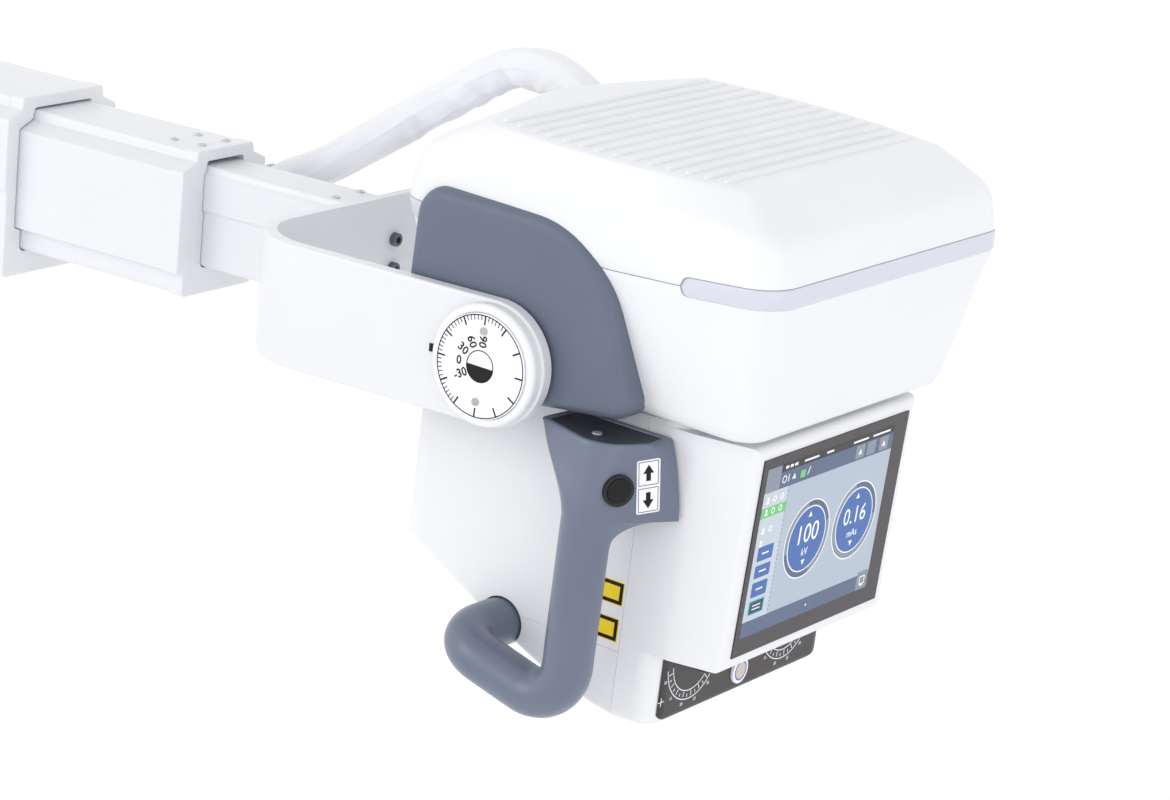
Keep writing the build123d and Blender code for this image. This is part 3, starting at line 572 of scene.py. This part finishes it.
def make_hose():
    """Creased fabric sleeve round the cables, from the yoke's clamp into the head."""
    line = even_steps(hose_centreline(), HOSE_STEP * MM)
    rings = []
    for k, (point, side, up) in enumerate(tube_frames(line)):
        s = k / (len(line) - 1)
        ring = []
        for i in range(HOSE_AROUND):
            a = math.tau * i / HOSE_AROUND
            r = (HOSE_R - SLEEVE_GAP + hose_swell(s, a)) * MM
            ring.append(point + (side * math.sin(a) + up * math.cos(a)) * r)
        rings.append(ring)
    hose = new_object("hose_fabric", *loft(rings), SLEEVE, 60.0)
    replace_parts(hose, "hose")
    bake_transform(hose)


# -------- head covers

# in the level head: height, rear, front, half width at the rear and at the front, corner radius,
# and how far the sides and the rear bulge in the middle, in mm
COVER_LEVELS = [(-18.0, -105.0, 244.0, 164.0, 168.0, 30.0, 0.0, 0.0),
                (90.0, -131.6, 260.9, 182.5, 191.4, 30.0, 0.0, 0.0),
                (116.0, -138.0, 265.0, 187.0, 197.0, 30.0, 0.0, 0.0),
                (148.0, -132.0, 260.0, 186.0, 194.5, 29.0, 2.0, 4.0),
                (167.0, -120.0, 252.0, 184.0, 188.5, 25.0, 6.0, 12.0),
                (182.0, -97.0, 232.0, 178.5, 173.5, 20.0, 11.0, 24.0),
                (196.2, -66.0, 209.0, 171.0, 157.0, 14.0, 18.0, 38.0)]
EDGE_Z, CROWN_Z, LOW_Z, LOW_RIM = 196.2, 198.0, -18.0, 9.0  # top's edge and middle, underside, its bend
# inset and rise of the rings that roll the top over from its edge to its middle
TOP_ROLL = ((0.5, 0.35), (1.6, 0.80), (3.2, 1.05), (6.0, 1.20), (25.0, 1.40), (60.0, 1.65), (100.0, 1.80))
LIPS = ((0.12, 0.8), (0.4, 0.2), (1.0, 0.0))  # height from the seam and inset
SIDE_RINGS, LOW_RINGS, COVER_WALL = 24, 16, 3.0
SEAM = [(-400, 106), (95, 106), (185, 113), (265, 121), (400, 121)]
WIDEST_Z = 116.0
SIDE_STEPS, CORNER_STEPS, END_STEPS = 150, 14, 40
HALF_ROUND = SIDE_STEPS + 2 * CORNER_STEPS + END_STEPS  # outline steps from the near side to the far side


def seam_height(x):
    """Height of the joint between the two covers."""
    for (x0, z0), (x1, z1) in zip(SEAM, SEAM[1:]):
        if x <= x1:
            return z0 + (z1 - z0) * (x - x0) / (x1 - x0)
    return SEAM[-1][1]


def section(z, inset=0.0):
    """The head's section at a height: the columns of COVER_LEVELS, moved in by inset."""
    rear, front, w0, w1, r, side, back = (hermite([(row[0], row[n]) for row in COVER_LEVELS], z)
                                          for n in range(1, 8))
    return rear + inset, front - inset, w0 - inset, w1 - inset, max(r - inset, 3.0), side, back


def outline_spot(i, rear, front, w0, w1, r, side, back):
    """Point number i on the head's section, counter-clockwise from the near side's rear corner."""
    flip, i = (-1, i - HALF_ROUND) if i >= HALF_ROUND else (1, i)
    # the second half is the first one turned round, with front and rear changed over
    ahead, behind = (front, rear) if flip > 0 else (rear, front)
    wide_ahead, wide_behind = (w1, w0) if flip > 0 else (w0, w1)

    def wide(share):
        return wide_behind + (wide_ahead - wide_behind) * share + 4 * side * share * (1 - share)

    run = abs(ahead - behind) - 2 * r
    if i < SIDE_STEPS:
        along = r + run * i / SIDE_STEPS
        return behind + flip * along, -flip * wide(along / (run + 2 * r))
    corner_y = wide(1 - r / (run + 2 * r)) - r
    if i < SIDE_STEPS + CORNER_STEPS:
        a = math.radians(-90 + 90 * (i - SIDE_STEPS) / CORNER_STEPS)
        return ahead + flip * (r * math.cos(a) - r), flip * (r * math.sin(a) - corner_y)
    if i < SIDE_STEPS + CORNER_STEPS + END_STEPS:
        across = 2 * (i - SIDE_STEPS - CORNER_STEPS) / END_STEPS - 1
        bulge = 0.0 if flip > 0 else back * (1 - abs(across) ** 1.4)
        return ahead + flip * bulge, flip * corner_y * across
    a = math.radians(90 * (i - SIDE_STEPS - CORNER_STEPS - END_STEPS) / CORNER_STEPS)
    return ahead + flip * (r * math.cos(a) - r), flip * (corner_y + r * math.sin(a))


def outline(z, inset=0.0):
    """The head's whole section at one height."""
    sizes = section(z, inset)
    return [outline_spot(i, *sizes) for i in range(2 * HALF_ROUND)]


def cover_ring(share, lip, inset, top):
    """Ring between the seam, moved by lip, and a level height, with the seam's rise fading out."""
    ring = []
    for i, (gx, _) in enumerate(outline(WIDEST_Z)):
        base = seam_height(gx) + lip
        z = base + (top - base) * share
        ring.append((*outline_spot(i, *section(z, inset)), z))
    return ring


def level_ring(z, inset, rise=0.0):
    """Ring of one level section."""
    return [(x, y, z + rise) for x, y in outline(z, inset)]


def thicken(piece, wall):
    """Gives an open skin its wall, inwards."""
    shell = piece.modifiers.new("wall", "SOLIDIFY")
    shell.thickness = wall * MM
    shell.offset = -1.0


def make_covers():
    """Upper and lower cover of the tube head as smooth thin shells."""
    last_lip = LIPS[-1][0]
    rings = [cover_ring(0.0, lip, inset, EDGE_Z) for lip, inset in LIPS]
    rings += [cover_ring((k / SIDE_RINGS) ** 0.8, last_lip, 0.0, EDGE_Z) for k in range(1, SIDE_RINGS + 1)]
    rings += [level_ring(EDGE_Z, inset, rise) for inset, rise in TOP_ROLL]
    verts, faces = loft(rings, low_cap=False)
    upper = add_piece("upper_cover_shell", verts, faces, COVER, "head", sharp=50,
                      replaces=["upper_cover"])
    thicken(upper, COVER_WALL)
    rings = [level_ring(LOW_Z, inset) for inset in (100.0, 60.0, LOW_RIM)]
    for k in range(1, 6):
        a = math.radians(18 * k)
        rings.append(level_ring(LOW_Z, LOW_RIM * (1 - math.sin(a)), LOW_RIM * (1 - math.cos(a))))
    rings += [cover_ring(1 - k / LOW_RINGS, -last_lip, 0.0, LOW_Z + LOW_RIM + 0.5)
              for k in range(LOW_RINGS + 1)]
    rings += [cover_ring(0.0, -lip, inset, EDGE_Z) for lip, inset in reversed(LIPS[:2])]
    verts, faces = loft(rings, high_cap=False)
    lower = add_piece("lower_cover_shell", verts, faces, COVER, "head", sharp=50,
                      replaces=["lower_cover"])
    thicken(lower, COVER_WALL)


RIBS, RIB_FIRST, RIB_LAST, RIB_CLEAR = 14, -50.0, 175.0, 11.0  # number, places, gap at the ends
RIB_R, RIB_H, RIB_TAPER, RIB_STEPS, RIB_ARC = 3.0, 3.3, 5.0, 60, 12  # mm, then steps along and over a rib
RIB_SINK, RIB_SAG, RIB_ROOT = 0.2, 0.6, 1.4  # its foot below the crown, more at the ends, and its root


def rib_half(x):
    """Half length of a bead, which stops short of the edge of the top."""
    rear, front, w0, w1, _, side, _ = section(EDGE_Z)
    share = (x - rear) / (front - rear)
    return w0 + (w1 - w0) * share + 4 * side * share * (1 - share) - RIB_CLEAR


def make_ribs():
    """Cast beads across the top, rounded over and tapered at both ends."""
    verts, faces = [], []
    for n in range(RIBS):
        x = RIB_FIRST + (RIB_LAST - RIB_FIRST) * n / (RIBS - 1)
        length = rib_half(x)
        rings = []
        for k in range(RIB_STEPS + 1):
            y = -length * math.cos(math.pi * k / RIB_STEPS)
            end = min(1.0, (length - abs(y)) / RIB_TAPER)
            full = math.sqrt(1 - (1 - end) ** 2)
            ground = CROWN_Z - RIB_SINK - RIB_SAG * (y / length) ** 2
            half = RIB_R * (0.3 + 0.7 * full)
            ring = []
            for i in range(RIB_ARC + 1):
                a = math.pi * i / RIB_ARC
                ring.append((x - half * math.cos(a), y, ground + RIB_H * full * math.sin(a)))
            ring += [(x + half, y, ground - RIB_ROOT), (x - half, y, ground - RIB_ROOT)]
            rings.append(ring)
        v, f = loft(rings)
        start = len(verts)
        verts += v
        faces += [tuple(start + i for i in face) for face in f]
    add_piece("cover_ribs", verts, faces, COVER, "head", sharp=40)


BAND_ROOT = 0.6  # how far a strip's edges go into the cover, in mm


def band(name, look, low, high, proud, start, end, replaces=()):
    """Strip laid round the covers on the seam line, from one outline point to another, with rounded ends."""
    guide = outline(WIDEST_Z)
    picked = [i % len(guide) for i in range(start, end)]
    middle, half = (low + high) / 2, (high - low) / 2
    runs = [0.0]
    for a, b in zip(picked, picked[1:]):
        runs.append(runs[-1] + math.dist(guide[a], guide[b]))
    edge = [(1.0, -BAND_ROOT), (0.985, proud * 0.35), (0.95, proud * 0.8), (0.86, proud)]
    profile = [(-h, out) for h, out in edge] + edge[::-1]
    rings = []
    for run, i in zip(runs, picked):
        near = min(run, runs[-1] - run)
        share = math.sqrt(max(0.0, 1 - (1 - min(1.0, near / half)) ** 2)) * 0.999 + 0.001
        ring = []
        for h, out in profile:
            z = seam_height(guide[i][0]) + middle + half * share * h
            ring.append((*outline_spot(i, *section(z, -out)), z))
        rings.append(ring)
    verts, faces = loft(rings)
    return add_piece(name, verts, [tuple(reversed(face)) for face in faces], look, "head", sharp=45,
                     replaces=replaces)


STRIP_X, STRIP_HALF, STRIP_PROUD = 172.0, 8.7, 0.75  # where the front one ends, its half height, its relief
STRIP_SHADOW_BELOW, STRIP_SHADOW_ABOVE, STRIP_SHADOW_PROUD = 0.2, 0.8, 0.22  # how much of the dark band behind the strip shows below and above it, and its relief: a painted shadow line, mostly along the strip's top


def make_strips():
    """Front and rear light strips, each on a dark band that shows along its top as a painted shadow line under
    the cover.
    """
    rear, front, _, _, r, _, _ = section(WIDEST_Z)
    first = round((STRIP_X - rear - r) / (front - rear - 2 * r) * SIDE_STEPS)
    for where, start, end in (("front", first, HALF_ROUND + SIDE_STEPS - first),
                              ("rear", HALF_ROUND + SIDE_STEPS - 2, 2 * HALF_ROUND + 3)):
        band(where + "_light_strip", STRIP, -STRIP_HALF, STRIP_HALF, STRIP_PROUD, start, end,
             ["light_strips"] if where == "front" else [])
        # dark band behind each strip, coloured as a painted shadow line along its top
        band(where + "_strip_painted_shadow", STRIP_SHADOW, -STRIP_HALF - STRIP_SHADOW_BELOW,
             STRIP_HALF + STRIP_SHADOW_ABOVE, STRIP_SHADOW_PROUD, start - 1, end + 1)


# -------- grips and pads

GRIP_R, GRIP_STEP = 22.5, 6.0
GRIP_PATH = [(114, -205, -137), (114, -205, -291), (-9, -207, -259), (2.3, -120, -254)]
GRIP_BENDS, BEND_STEPS = [34, 31], 16
BRACKET_TOP, BRACKET_FLAT, GRIP_START = -36.0, -107.0, -137.0  # heights: lip, underside, round section
BRACKET_OUT, BRACKET_ROOT = -227.5, -148.6  # its outer side and the side at the head
BRACKET_RINGS, NECK_RINGS = 30, 16
# height, then x, y and radius of the outer rear corner, and x of the inner rear corner and of the front
BRACKET_LEVELS = [(-107, 91.5, -227.5, 22.4, 92.5, 172.0), (-92, 89.2, -226.5, 21.0, 85.0, 170.0),
                  (-75, 80.5, -221.0, 17.0, 74.5, 166.5), (-55, 64.0, -209.5, 10.0, 62.0, 161.5),
                  (-36, 50.5, -200.0, 6.0, 55.0, 154.5)]
SLANT = ((133.0, -220.0), (172.0, -150.0))  # two points on the face that carries the button
# inset and rise of the rings over the bracket's rim, from the recess outwards
RIM = ((4.9, -2.6), (4.6, -0.6), (4.3, -0.15), (3.9, 0.0), (2.0, 0.0), (1.2, -0.25), (0.45, -0.8),
       (0.1, -1.5))
RIM_DEPTH, RECESS_INSET, RECESS_DEPTHS = 2.2, 5.0, (2.7, 2.3)
ARC_STEPS, EDGE_STEPS, LEAST_R = 12, 10, 0.6  # steps on each corner and edge, and the least radius


def rounded(corners, radii, inset=0.0):
    """Counter-clockwise polygon with round corners, moved in, with the same number of points each time."""
    count = len(corners)
    edges = []
    for k in range(count):
        a, b = Vector(corners[k]), Vector(corners[(k + 1) % count])
        run = (b - a).normalized()
        inward = Vector((-run.y, run.x))
        edges.append((a + inward * inset, run, inward))
    moved = []
    for k in range(count):
        (a, da, _), (b, db, _) = edges[k - 1], edges[k]
        along = ((b - a).x * db.y - (b - a).y * db.x) / (da.x * db.y - da.y * db.x)
        moved.append(a + da * along)
    arcs = []
    for k in range(count):
        (_, da, na), (_, db, _) = edges[k - 1], edges[k]
        r = max(radii[k] - inset, LEAST_R)
        turn = -da.angle_signed(db)
        back = r * math.tan(turn / 2)
        centre = moved[k] - da * back + na * r
        start = math.atan2(-na.y, -na.x)
        arcs.append([around(centre.x, centre.y, r, start + turn * i / ARC_STEPS)
                     for i in range(ARC_STEPS + 1)])
    points = []
    for k in range(count):
        points += arcs[k]
        (x0, y0), (x1, y1) = arcs[k][-1], arcs[(k + 1) % count][0]
        points += [(x0 + (x1 - x0) * i / EDGE_STEPS, y0 + (y1 - y0) * i / EDGE_STEPS)
                   for i in range(1, EDGE_STEPS)]
    return points


def bracket_section(z, inset=0.0):
    """Section of the handle's bracket at a height."""
    x, y, r, inner, front = (hermite([(row[0], row[n]) for row in BRACKET_LEVELS], z) for n in range(1, 6))
    (x0, y0), (x1, y1) = SLANT
    lean = (y1 - y0) / (x1 - x0)
    high = max(0.0, (z - BRACKET_FLAT) / (BRACKET_TOP - BRACKET_FLAT))
    corners = [(x, y), (x0 + (BRACKET_OUT - y0) / lean, BRACKET_OUT), (front, y0 + (front - x0) * lean),
               (front, BRACKET_ROOT), (inner, BRACKET_ROOT)]
    # the two corners beside the slanted face grow rounder towards the top
    return rounded(corners, [r, 21 + 15 * high ** 2, 0.8 + 3 * high, 0.8, 4.0], inset)


def bent_path(points, bends, step):
    """Straight runs joined by round bends, as evenly spaced points."""
    path = [Vector(points[0])]
    for k, r in enumerate(bends):
        a, b, c = (Vector(p) for p in points[k:k + 3])
        before, after = (b - a).normalized(), (c - b).normalized()
        turn = before.angle(after)
        back = r * math.tan(turn / 2)
        axis = before.cross(after).normalized()
        centre = b - before * back + axis.cross(before) * r
        path.append(b - before * back)
        spoke = path[-1] - centre
        for i in range(1, BEND_STEPS + 1):
            path.append(centre + Matrix.Rotation(turn * i / BEND_STEPS, 3, axis) @ spoke)
    path.append(Vector(points[-1]))
    fine = [path[0]]
    for a, b in zip(path, path[1:]):
        parts = max(1, round((b - a).length / step))
        fine += [a.lerp(b, i / parts) for i in range(1, parts + 1)]
    return fine


def make_grip(side, flip):
    """Handle of one side: recessed bracket that flows into a bent tube, with a dark plate of painted shade on
    the recess floor.
    """
    place = HEAD @ Matrix.Diagonal((1, flip, 1, 1))
    centre = Vector(GRIP_PATH[0]).xy
    full = bracket_section(BRACKET_FLAT)
    round_end = [(Vector(spot) - centre).normalized() * GRIP_R for spot in full]
    rings = [[(x, y, BRACKET_TOP + rise) for x, y in bracket_section(BRACKET_TOP, inset)]
             for inset, rise in RIM]
    for k in range(BRACKET_RINGS):
        share = k / (BRACKET_RINGS - 1)
        z = BRACKET_TOP - RIM_DEPTH + (BRACKET_FLAT - BRACKET_TOP + RIM_DEPTH) * share
        rings.append([(x, y, z) for x, y in bracket_section(z)])
    for k in range(1, NECK_RINGS + 1):
        lean = math.radians(90 - 90 * k / NECK_RINGS)
        share, z = 1 - math.cos(lean), GRIP_START + (BRACKET_FLAT - GRIP_START) * math.sin(lean)
        rings.append([(*(centre + spoke).lerp(Vector(spot), share), z)
                      for spoke, spot in zip(round_end, full)])
    path = bent_path(GRIP_PATH, GRIP_BENDS, GRIP_STEP)
    across, along_y = Vector((1, 0, 0)), Vector((0, 1, 0))
    last = Vector((0, 0, -1))
    for k in range(1, len(path)):
        ahead = (path[min(k + 1, len(path) - 1)] - path[k - 1]).normalized()
        swing = last.rotation_difference(ahead)
        across, along_y, last = swing @ across, swing @ along_y, ahead
        rings.append([tuple(path[k] + across * spoke.x + along_y * spoke.y) for spoke in round_end])
    verts, faces = loft(rings)
    faces = [tuple(reversed(face)) for face in faces]
    add_piece("grip_" + side, verts, faces, GRIP, "head", place, 46, ["handle_" + side])
    # dark plate on the recess floor, coloured as painted shade under the pad
    plan = bracket_section(BRACKET_TOP, RECESS_INSET)
    verts, faces = loft([[(x, y, BRACKET_TOP - depth) for x, y in plan] for depth in RECESS_DEPTHS])
    add_piece("bracket_recess_painted_shade_" + side, verts, faces, PAINTED_RECESS_SHADE, "head", place)


PAD_CORNERS = [(-112, -50), (140, -19), (88, 136), (-109, 136)]  # length and height
PAD_RADII = [14, 17, 98, 30]
PAD_RINGS = [(0.0, 160.0), (0.0, 186.0), (0.6, 190.5), (2.2, 194.0), (4.8, 196.5), (8.0, 197.7),
             (12.0, 198.0), (30.0, 198.2)]  # inset, distance from the middle plane


def make_pad(side, flip):
    """Soft-edged side cushion of the head."""
    rings = [[(x, -away, z) for x, z in rounded(PAD_CORNERS, PAD_RADII, inset)] for inset, away in PAD_RINGS]
    verts, faces = loft(rings)
    place = HEAD @ Matrix.Diagonal((1, flip, 1, 1))
    add_piece("pad_" + side, verts, faces, PAD, "head", place, 40, ["side_pad_" + side])


def make_grips():
    """Handle and cushion of both sides."""
    for side, flip in (("near", 1), ("far", -1)):
        make_grip(side, flip)
        make_pad(side, flip)


# -------- dials

DIAL_FACE, DIAL_R = 228.0, 47.1  # mm from the middle plane, outer radius
FIGURES_R, FIGURE_SIZE, HUB_R = 22.5, 11.0, 14.5


def make_dial(side):
    """Printed tilt scale and horizon mark on one side's white disc."""
    near = side == "near"
    place = plane((0, -DIAL_FACE if near else DIAL_FACE, 0), (1 if near else -1, 0, 0), (0, 0, 1))
    ink = Print(-0.1, 0.14)
    ink.arc(0, 0, DIAL_R - 1.95, DIAL_R - 1.0, 0, 360)

    def spot(value):
        return math.radians(180 - value if near else value)

    for value in range(-180, 180, 5):
        if value % 30 == 0:
            length, width = 9.5, 1.5
        elif -60 < value < 120:
            length, width = 6.0, 0.8
        else:
            continue
        a = spot(value)
        ink.line(*around(0, 0, DIAL_R - length, a), *around(0, 0, DIAL_R - 1.3, a), width)
    for value in (90, 60, 30, 0, -30):
        a = spot(value)
        turn = math.degrees(a) - 180 if near else math.degrees(a)
        ink.text(str(value), *around(0, 0, FIGURES_R, a), FIGURE_SIZE, turn, 0.2)
    ink.arc(0, 0, HUB_R - 0.9, HUB_R, 0, 360)
    ink.half(0, 0, HUB_R - 0.3)
    ink.make("dial_print_" + side, INK, "head", "dial_face", place)


# -------- display

LEAN = math.radians(1.8)
SCREEN_X, SCREEN_Z, GLASS_FACE = 230.0, -132.0, 1.2
SCREEN = plane((SCREEN_X, 0, SCREEN_Z), (0, 1, 0), (math.sin(LEAN), 0, math.cos(LEAN)))
LEFT, RIGHT, LOW, HIGH = -115.2, 99.8, -75.0, 83.0  # the lit area, from the bezel's centre
COLUMN, BAND, TOP_BAND, CORNER = -75.0, 60.5, 76.0, -92.0  # where the column and the bands start
SIGN_V, SIGNS = 68.5, (43, 62, 84)  # the band's signs: height, and places of the framed ones
FACE_R, TRACK = 30.2, (31.5, 36.2)  # a round setting's disc and the track round it
BUTTONS = ((-4, 9.5), (-20, -8), (-38, -24))  # bottom and top of the column's buttons
# centre, figures and unit of each round setting, then the dark and the pale stretches of its track
SETTINGS = ((-27.5, 0.5, "100", "kV", ((20, 100), (195, 290)), ((100, 195), (-70, 20))),
            (54.0, 0.5, "0.16", "mAs", ((0, 100),), ((100, 360),)))


def lit(name, red, green, blue):
    """Lit part of the screen, from a display colour of 0 to 255."""
    rgb = [(c / 255) ** 2.2 for c in (red, green, blue)]
    return textured(name, [c * 0.5 for c in rgb], 0.22, 2400, 0.03, 0.02, 0.03, Emission_Color=(*rgb, 1.0),
                    Emission_Strength=0.5)


def make_display():
    """The lit picture on the screen: bands, buttons, two round settings and their figures."""

    def layer(high):
        return Print(GLASS_FACE - 0.1, GLASS_FACE + high)

    def done(layer_print, name, red, green, blue):
        look = lit("screen_" + name, red, green, blue)
        layer_print.make("screen_" + name, look, "head", "display_glass", SCREEN)

    base = layer(0.05)
    base.rect(LEFT, LOW, RIGHT, HIGH)
    done(base, "ground", 172, 185, 199)
    column = layer(0.09)
    column.rect(LEFT, LOW + 15, COLUMN, BAND)
    done(column, "column", 193, 203, 213)
    slate = layer(0.13)
    slate.rect(CORNER, BAND, RIGHT, TOP_BAND)
    slate.rect(LEFT, LOW, RIGHT, LOW + 15)
    for u, v, _, _, dark, _ in SETTINGS:
        for start, end in dark:
            slate.arc(u, v, *TRACK, start, end)
    done(slate, "slate", 78, 94, 126)
    corner = layer(0.16)
    corner.rect(LEFT, BAND, CORNER, HIGH)
    for u in SIGNS:
        corner.rect(u - 7.5, BAND + 1.5, u + 7.5, TOP_BAND - 1, 1.0)
    corner.rect(80, LOW, 99, LOW + 18, 1.0)
    for u, v, _, _, _, pale in SETTINGS:
        for start, end in pale:
            corner.arc(u, v, *TRACK, start, end)
    done(corner, "grey", 128, 138, 152)
    black = layer(0.20)
    black.rect(CORNER, TOP_BAND, RIGHT, HIGH)
    for v in range(-57, int(BAND), 4):
        black.rect(COLUMN - 0.25, v, COLUMN + 0.25, v + 2)
    done(black, "black", 20, 20, 24)
    green = layer(0.20)
    green.rect(LEFT, 37, COLUMN, 46.5)
    green.rect(-58, 64, -50, 71)
    done(green, "green", 108, 196, 112)
    blue = layer(0.18)
    for u, v, *_ in SETTINGS:
        blue.disc(u, v, FACE_R)
    for low, high in BUTTONS:
        blue.rect(-109, low, -84, high, 1.5)
    done(blue, "blue", 52, 98, 170)
    teal = layer(0.23)
    teal.frame(-109, -55, -84, -41, 1.2)
    done(teal, "teal", 66, 198, 208)
    deep = layer(0.20)
    deep.rect(-108, -54, -85, -42)
    done(deep, "deep", 30, 62, 86)
    done(make_screen_figures(layer(0.28)), "white", 246, 249, 255)


def make_screen_figures(white):
    """Everything on the screen that is white."""
    for u, v, value, unit, _, _ in SETTINGS:
        white.arc(u, v, FACE_R, FACE_R + 1.0, 0, 360)
        white.arc(u, v, 36.4, 37.4, 0, 360)
        white.text(value, u, v + 4.5, 26 if len(value) < 4 else 23)
        white.text(unit, u, v - 12.5, 10.0)
        white.arrow(u, v + 23.5, 5.0)
        white.arrow(u, v - 22.5, 5.0, up=False)
    for u in (-86, -78.5, -71):
        white.rect(u, TOP_BAND + 2.2, u + 5, TOP_BAND + 4.8)
    for u, wide in ((-55, 24), (-18, 12), (28, 26), (62, 30)):
        white.rect(u, TOP_BAND + 2.6, u + wide, TOP_BAND + 4.4)
    white.arc(-85, SIGN_V, 2.6, 3.6, 0, 360)
    white.line(-78, 65, -78, 72, 1.2)
    white.arrow(-69, SIGN_V, 5.0)
    white.line(-46, 65, -43, 72, 1.2)
    for u in (SIGNS[0], SIGNS[-1]):
        white.arrow(u, SIGN_V, 5.0)
    white.frame(85, LOW + 5, 94, LOW + 13, 0.9)
    white.line(87, LOW + 4, 92, LOW + 4, 1.2)
    for v in (53, 42, 25, 13):
        white.disc(-107, v + 1.4, 1.7, 24)
        white.rect(-109.2, v - 3.0, -104.8, v - 0.9)
    for u, v in ((-96, 53), (-84, 53), (-96, 42), (-84, 42), (-95, 25)):
        white.arc(u, v, 1.9, 2.9, 0, 360)
    for v in (2.7, -14, -31):
        white.rect(-102, v - 0.7, -91, v + 0.7)
    for v in (-46.5, -49.8):
        white.rect(-103, v - 0.5, -90, v + 0.5)
    white.disc(-8, LOW + 7.5, 1.1, 20)
    return white


# -------- field panel

PANEL_FACE = 168.8
SCALES, SCALE_Z = (-86.0, 71.0), -249.0  # sideways places and height of the scales' centres
SCALE_RINGS, SCALE_ARC = ((31.7, 32.6), (40.0, 40.9)), (187, 353)
TICK_END, LONG_TICK, SHORT_TICK, SCALE_FIGURES_R = 38.5, 33.5, 35.5, 45.0
PLUS_Y, PLUS_Z = -131.5, -282.0
PANEL_PLACE = plane((PANEL_FACE, 0, 0), (0, 1, 0), (0, 0, 1))
LAMP_Y, LAMP_Z, LAMP_FACE, LAMP_R = -4.5, -282.5, 171.5, 8.0


def make_panel_print():
    """Scales round both field knobs, in white, and the lamp button's coloured face."""
    ink = Print(-0.1, 0.16)
    for u in SCALES:
        for ring in SCALE_RINGS:
            ink.arc(u, SCALE_Z, *ring, *SCALE_ARC)
        for a in range(195, 350, 10):
            turn = math.radians(a)
            tick = LONG_TICK if a % 20 == 15 else SHORT_TICK
            ink.line(*around(u, SCALE_Z, tick, turn), *around(u, SCALE_Z, TICK_END, turn), 0.9)
        for k, a in enumerate((200, 228, 256, 284, 312, 340)):
            ink.text(str(5 * k + 10), *around(u, SCALE_Z, SCALE_FIGURES_R, math.radians(a)), 4.4)
    ink.line(PLUS_Y - 4.5, PLUS_Z, PLUS_Y + 4.5, PLUS_Z, 0.8)
    ink.line(PLUS_Y, PLUS_Z - 4, PLUS_Y, PLUS_Z + 4, 0.8)
    ink.make("panel_print", DIAL_WHITE, "head", "dial_face", PANEL_PLACE)
    place = plane((LAMP_FACE, LAMP_Y, LAMP_Z), (0, 1, 0), (0, 0, 1))
    ring = Print(-0.3, 0.12)
    ring.arc(0, 0, LAMP_R, LAMP_R + 1.6, 0, 360)
    ring.make("lamp_button_ring", BUTTON_BLUE, "lamp_button", "lamp_button", place)
    face = Print(-0.3, 0.06)
    face.disc(0, 0, LAMP_R)
    face.make("lamp_button_face", BUTTON_BEIGE, "lamp_button", "lamp_button", place)


# -------- labels

LABEL_U, LABEL_V, LABEL_FACE, LABEL_LEAN = 46.0, -73.5, 0.71, 7.0  # on the slanted face; lean in degrees
LABEL_HALF_WIDE, LABEL_HALF_HIGH, ARROW_V = 11.2, 24.6, 12.2  # the arrow plate and its arrows
SIDE_FACE = -148.0  # the collimator's near side
YELLOW_PLATES = ((97.0, 126.0, -201.5, -179.5), (97.0, 125.0, -235.5, -213.5))  # rear, front, bottom, top


def make_labels():
    """Arrows beside both buttons and the two blank yellow plates on the near side."""
    outer, inner = (Vector((*spot, 0.0)) for spot in SLANT)
    slant = plane(outer, inner - outer, (0, 0, 1), Matrix.Identity(4))
    for side, flip in (("near", 1), ("far", -1)):
        place = (HEAD @ Matrix.Diagonal((1, flip, 1, 1)) @ slant @ Matrix.Translation((LABEL_U, LABEL_V, 0))
                 @ Matrix.Rotation(math.radians(LABEL_LEAN), 4, "Z"))
        plate = Print(-0.4, LABEL_FACE)
        plate.rect(-LABEL_HALF_WIDE, -LABEL_HALF_HIGH, LABEL_HALF_WIDE, LABEL_HALF_HIGH, 2.0)
        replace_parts(plate.make("arrow_plate_" + side, DIAL_WHITE, "head", "dial_face", place), "arrow_labels")
        ink = Print(LABEL_FACE - 0.1, LABEL_FACE + 0.12)
        for s in (1, -1):
            v = ARROW_V * s
            ink.frame(-9.6, v - 11.0, 9.6, v + 11.0, 0.55)
            tip = [(-5.2, v), (5.2, v), (0.0, v + s * 8.0)]
            ink.poly(tip[::s])
            ink.rect(-2.2, min(v, v - s * 7.0), 2.2, max(v, v - s * 7.0))
        ink.make("arrow_print_" + side, INK, "head", "dial_face", place)
    side_face = plane((0, SIDE_FACE, 0), (1, 0, 0), (0, 0, 1))
    sheet, border, middle = Print(-0.2, 0.12), Print(-0.2, 0.16), Print(-0.2, 0.20)
    for u0, u1, low, high in YELLOW_PLATES:
        sheet.rect(u0, low, u1, high, 0.8)
        border.rect(u0 + 0.9, low + 0.9, u1 - 0.9, high - 0.9, 0.4)
        middle.rect(u0 + 4.4, low + 4.4, u1 - 4.4, high - 4.4)
    sheet.make("label_sheets", LABEL_YELLOW, "head", None, side_face)
    border.make("label_borders", INK, "head", None, side_face)
    middle.make("label_fields", LABEL_YELLOW, "head", None, side_face)


# -------- the scene

make_camera()
make_hose()
make_stage()
dress_nodes()
round_edges()
make_covers()
make_ribs()
make_strips()
make_grips()
for dial_side in ("near", "far"):
    make_dial(dial_side)
make_display()
make_panel_print()
make_labels()
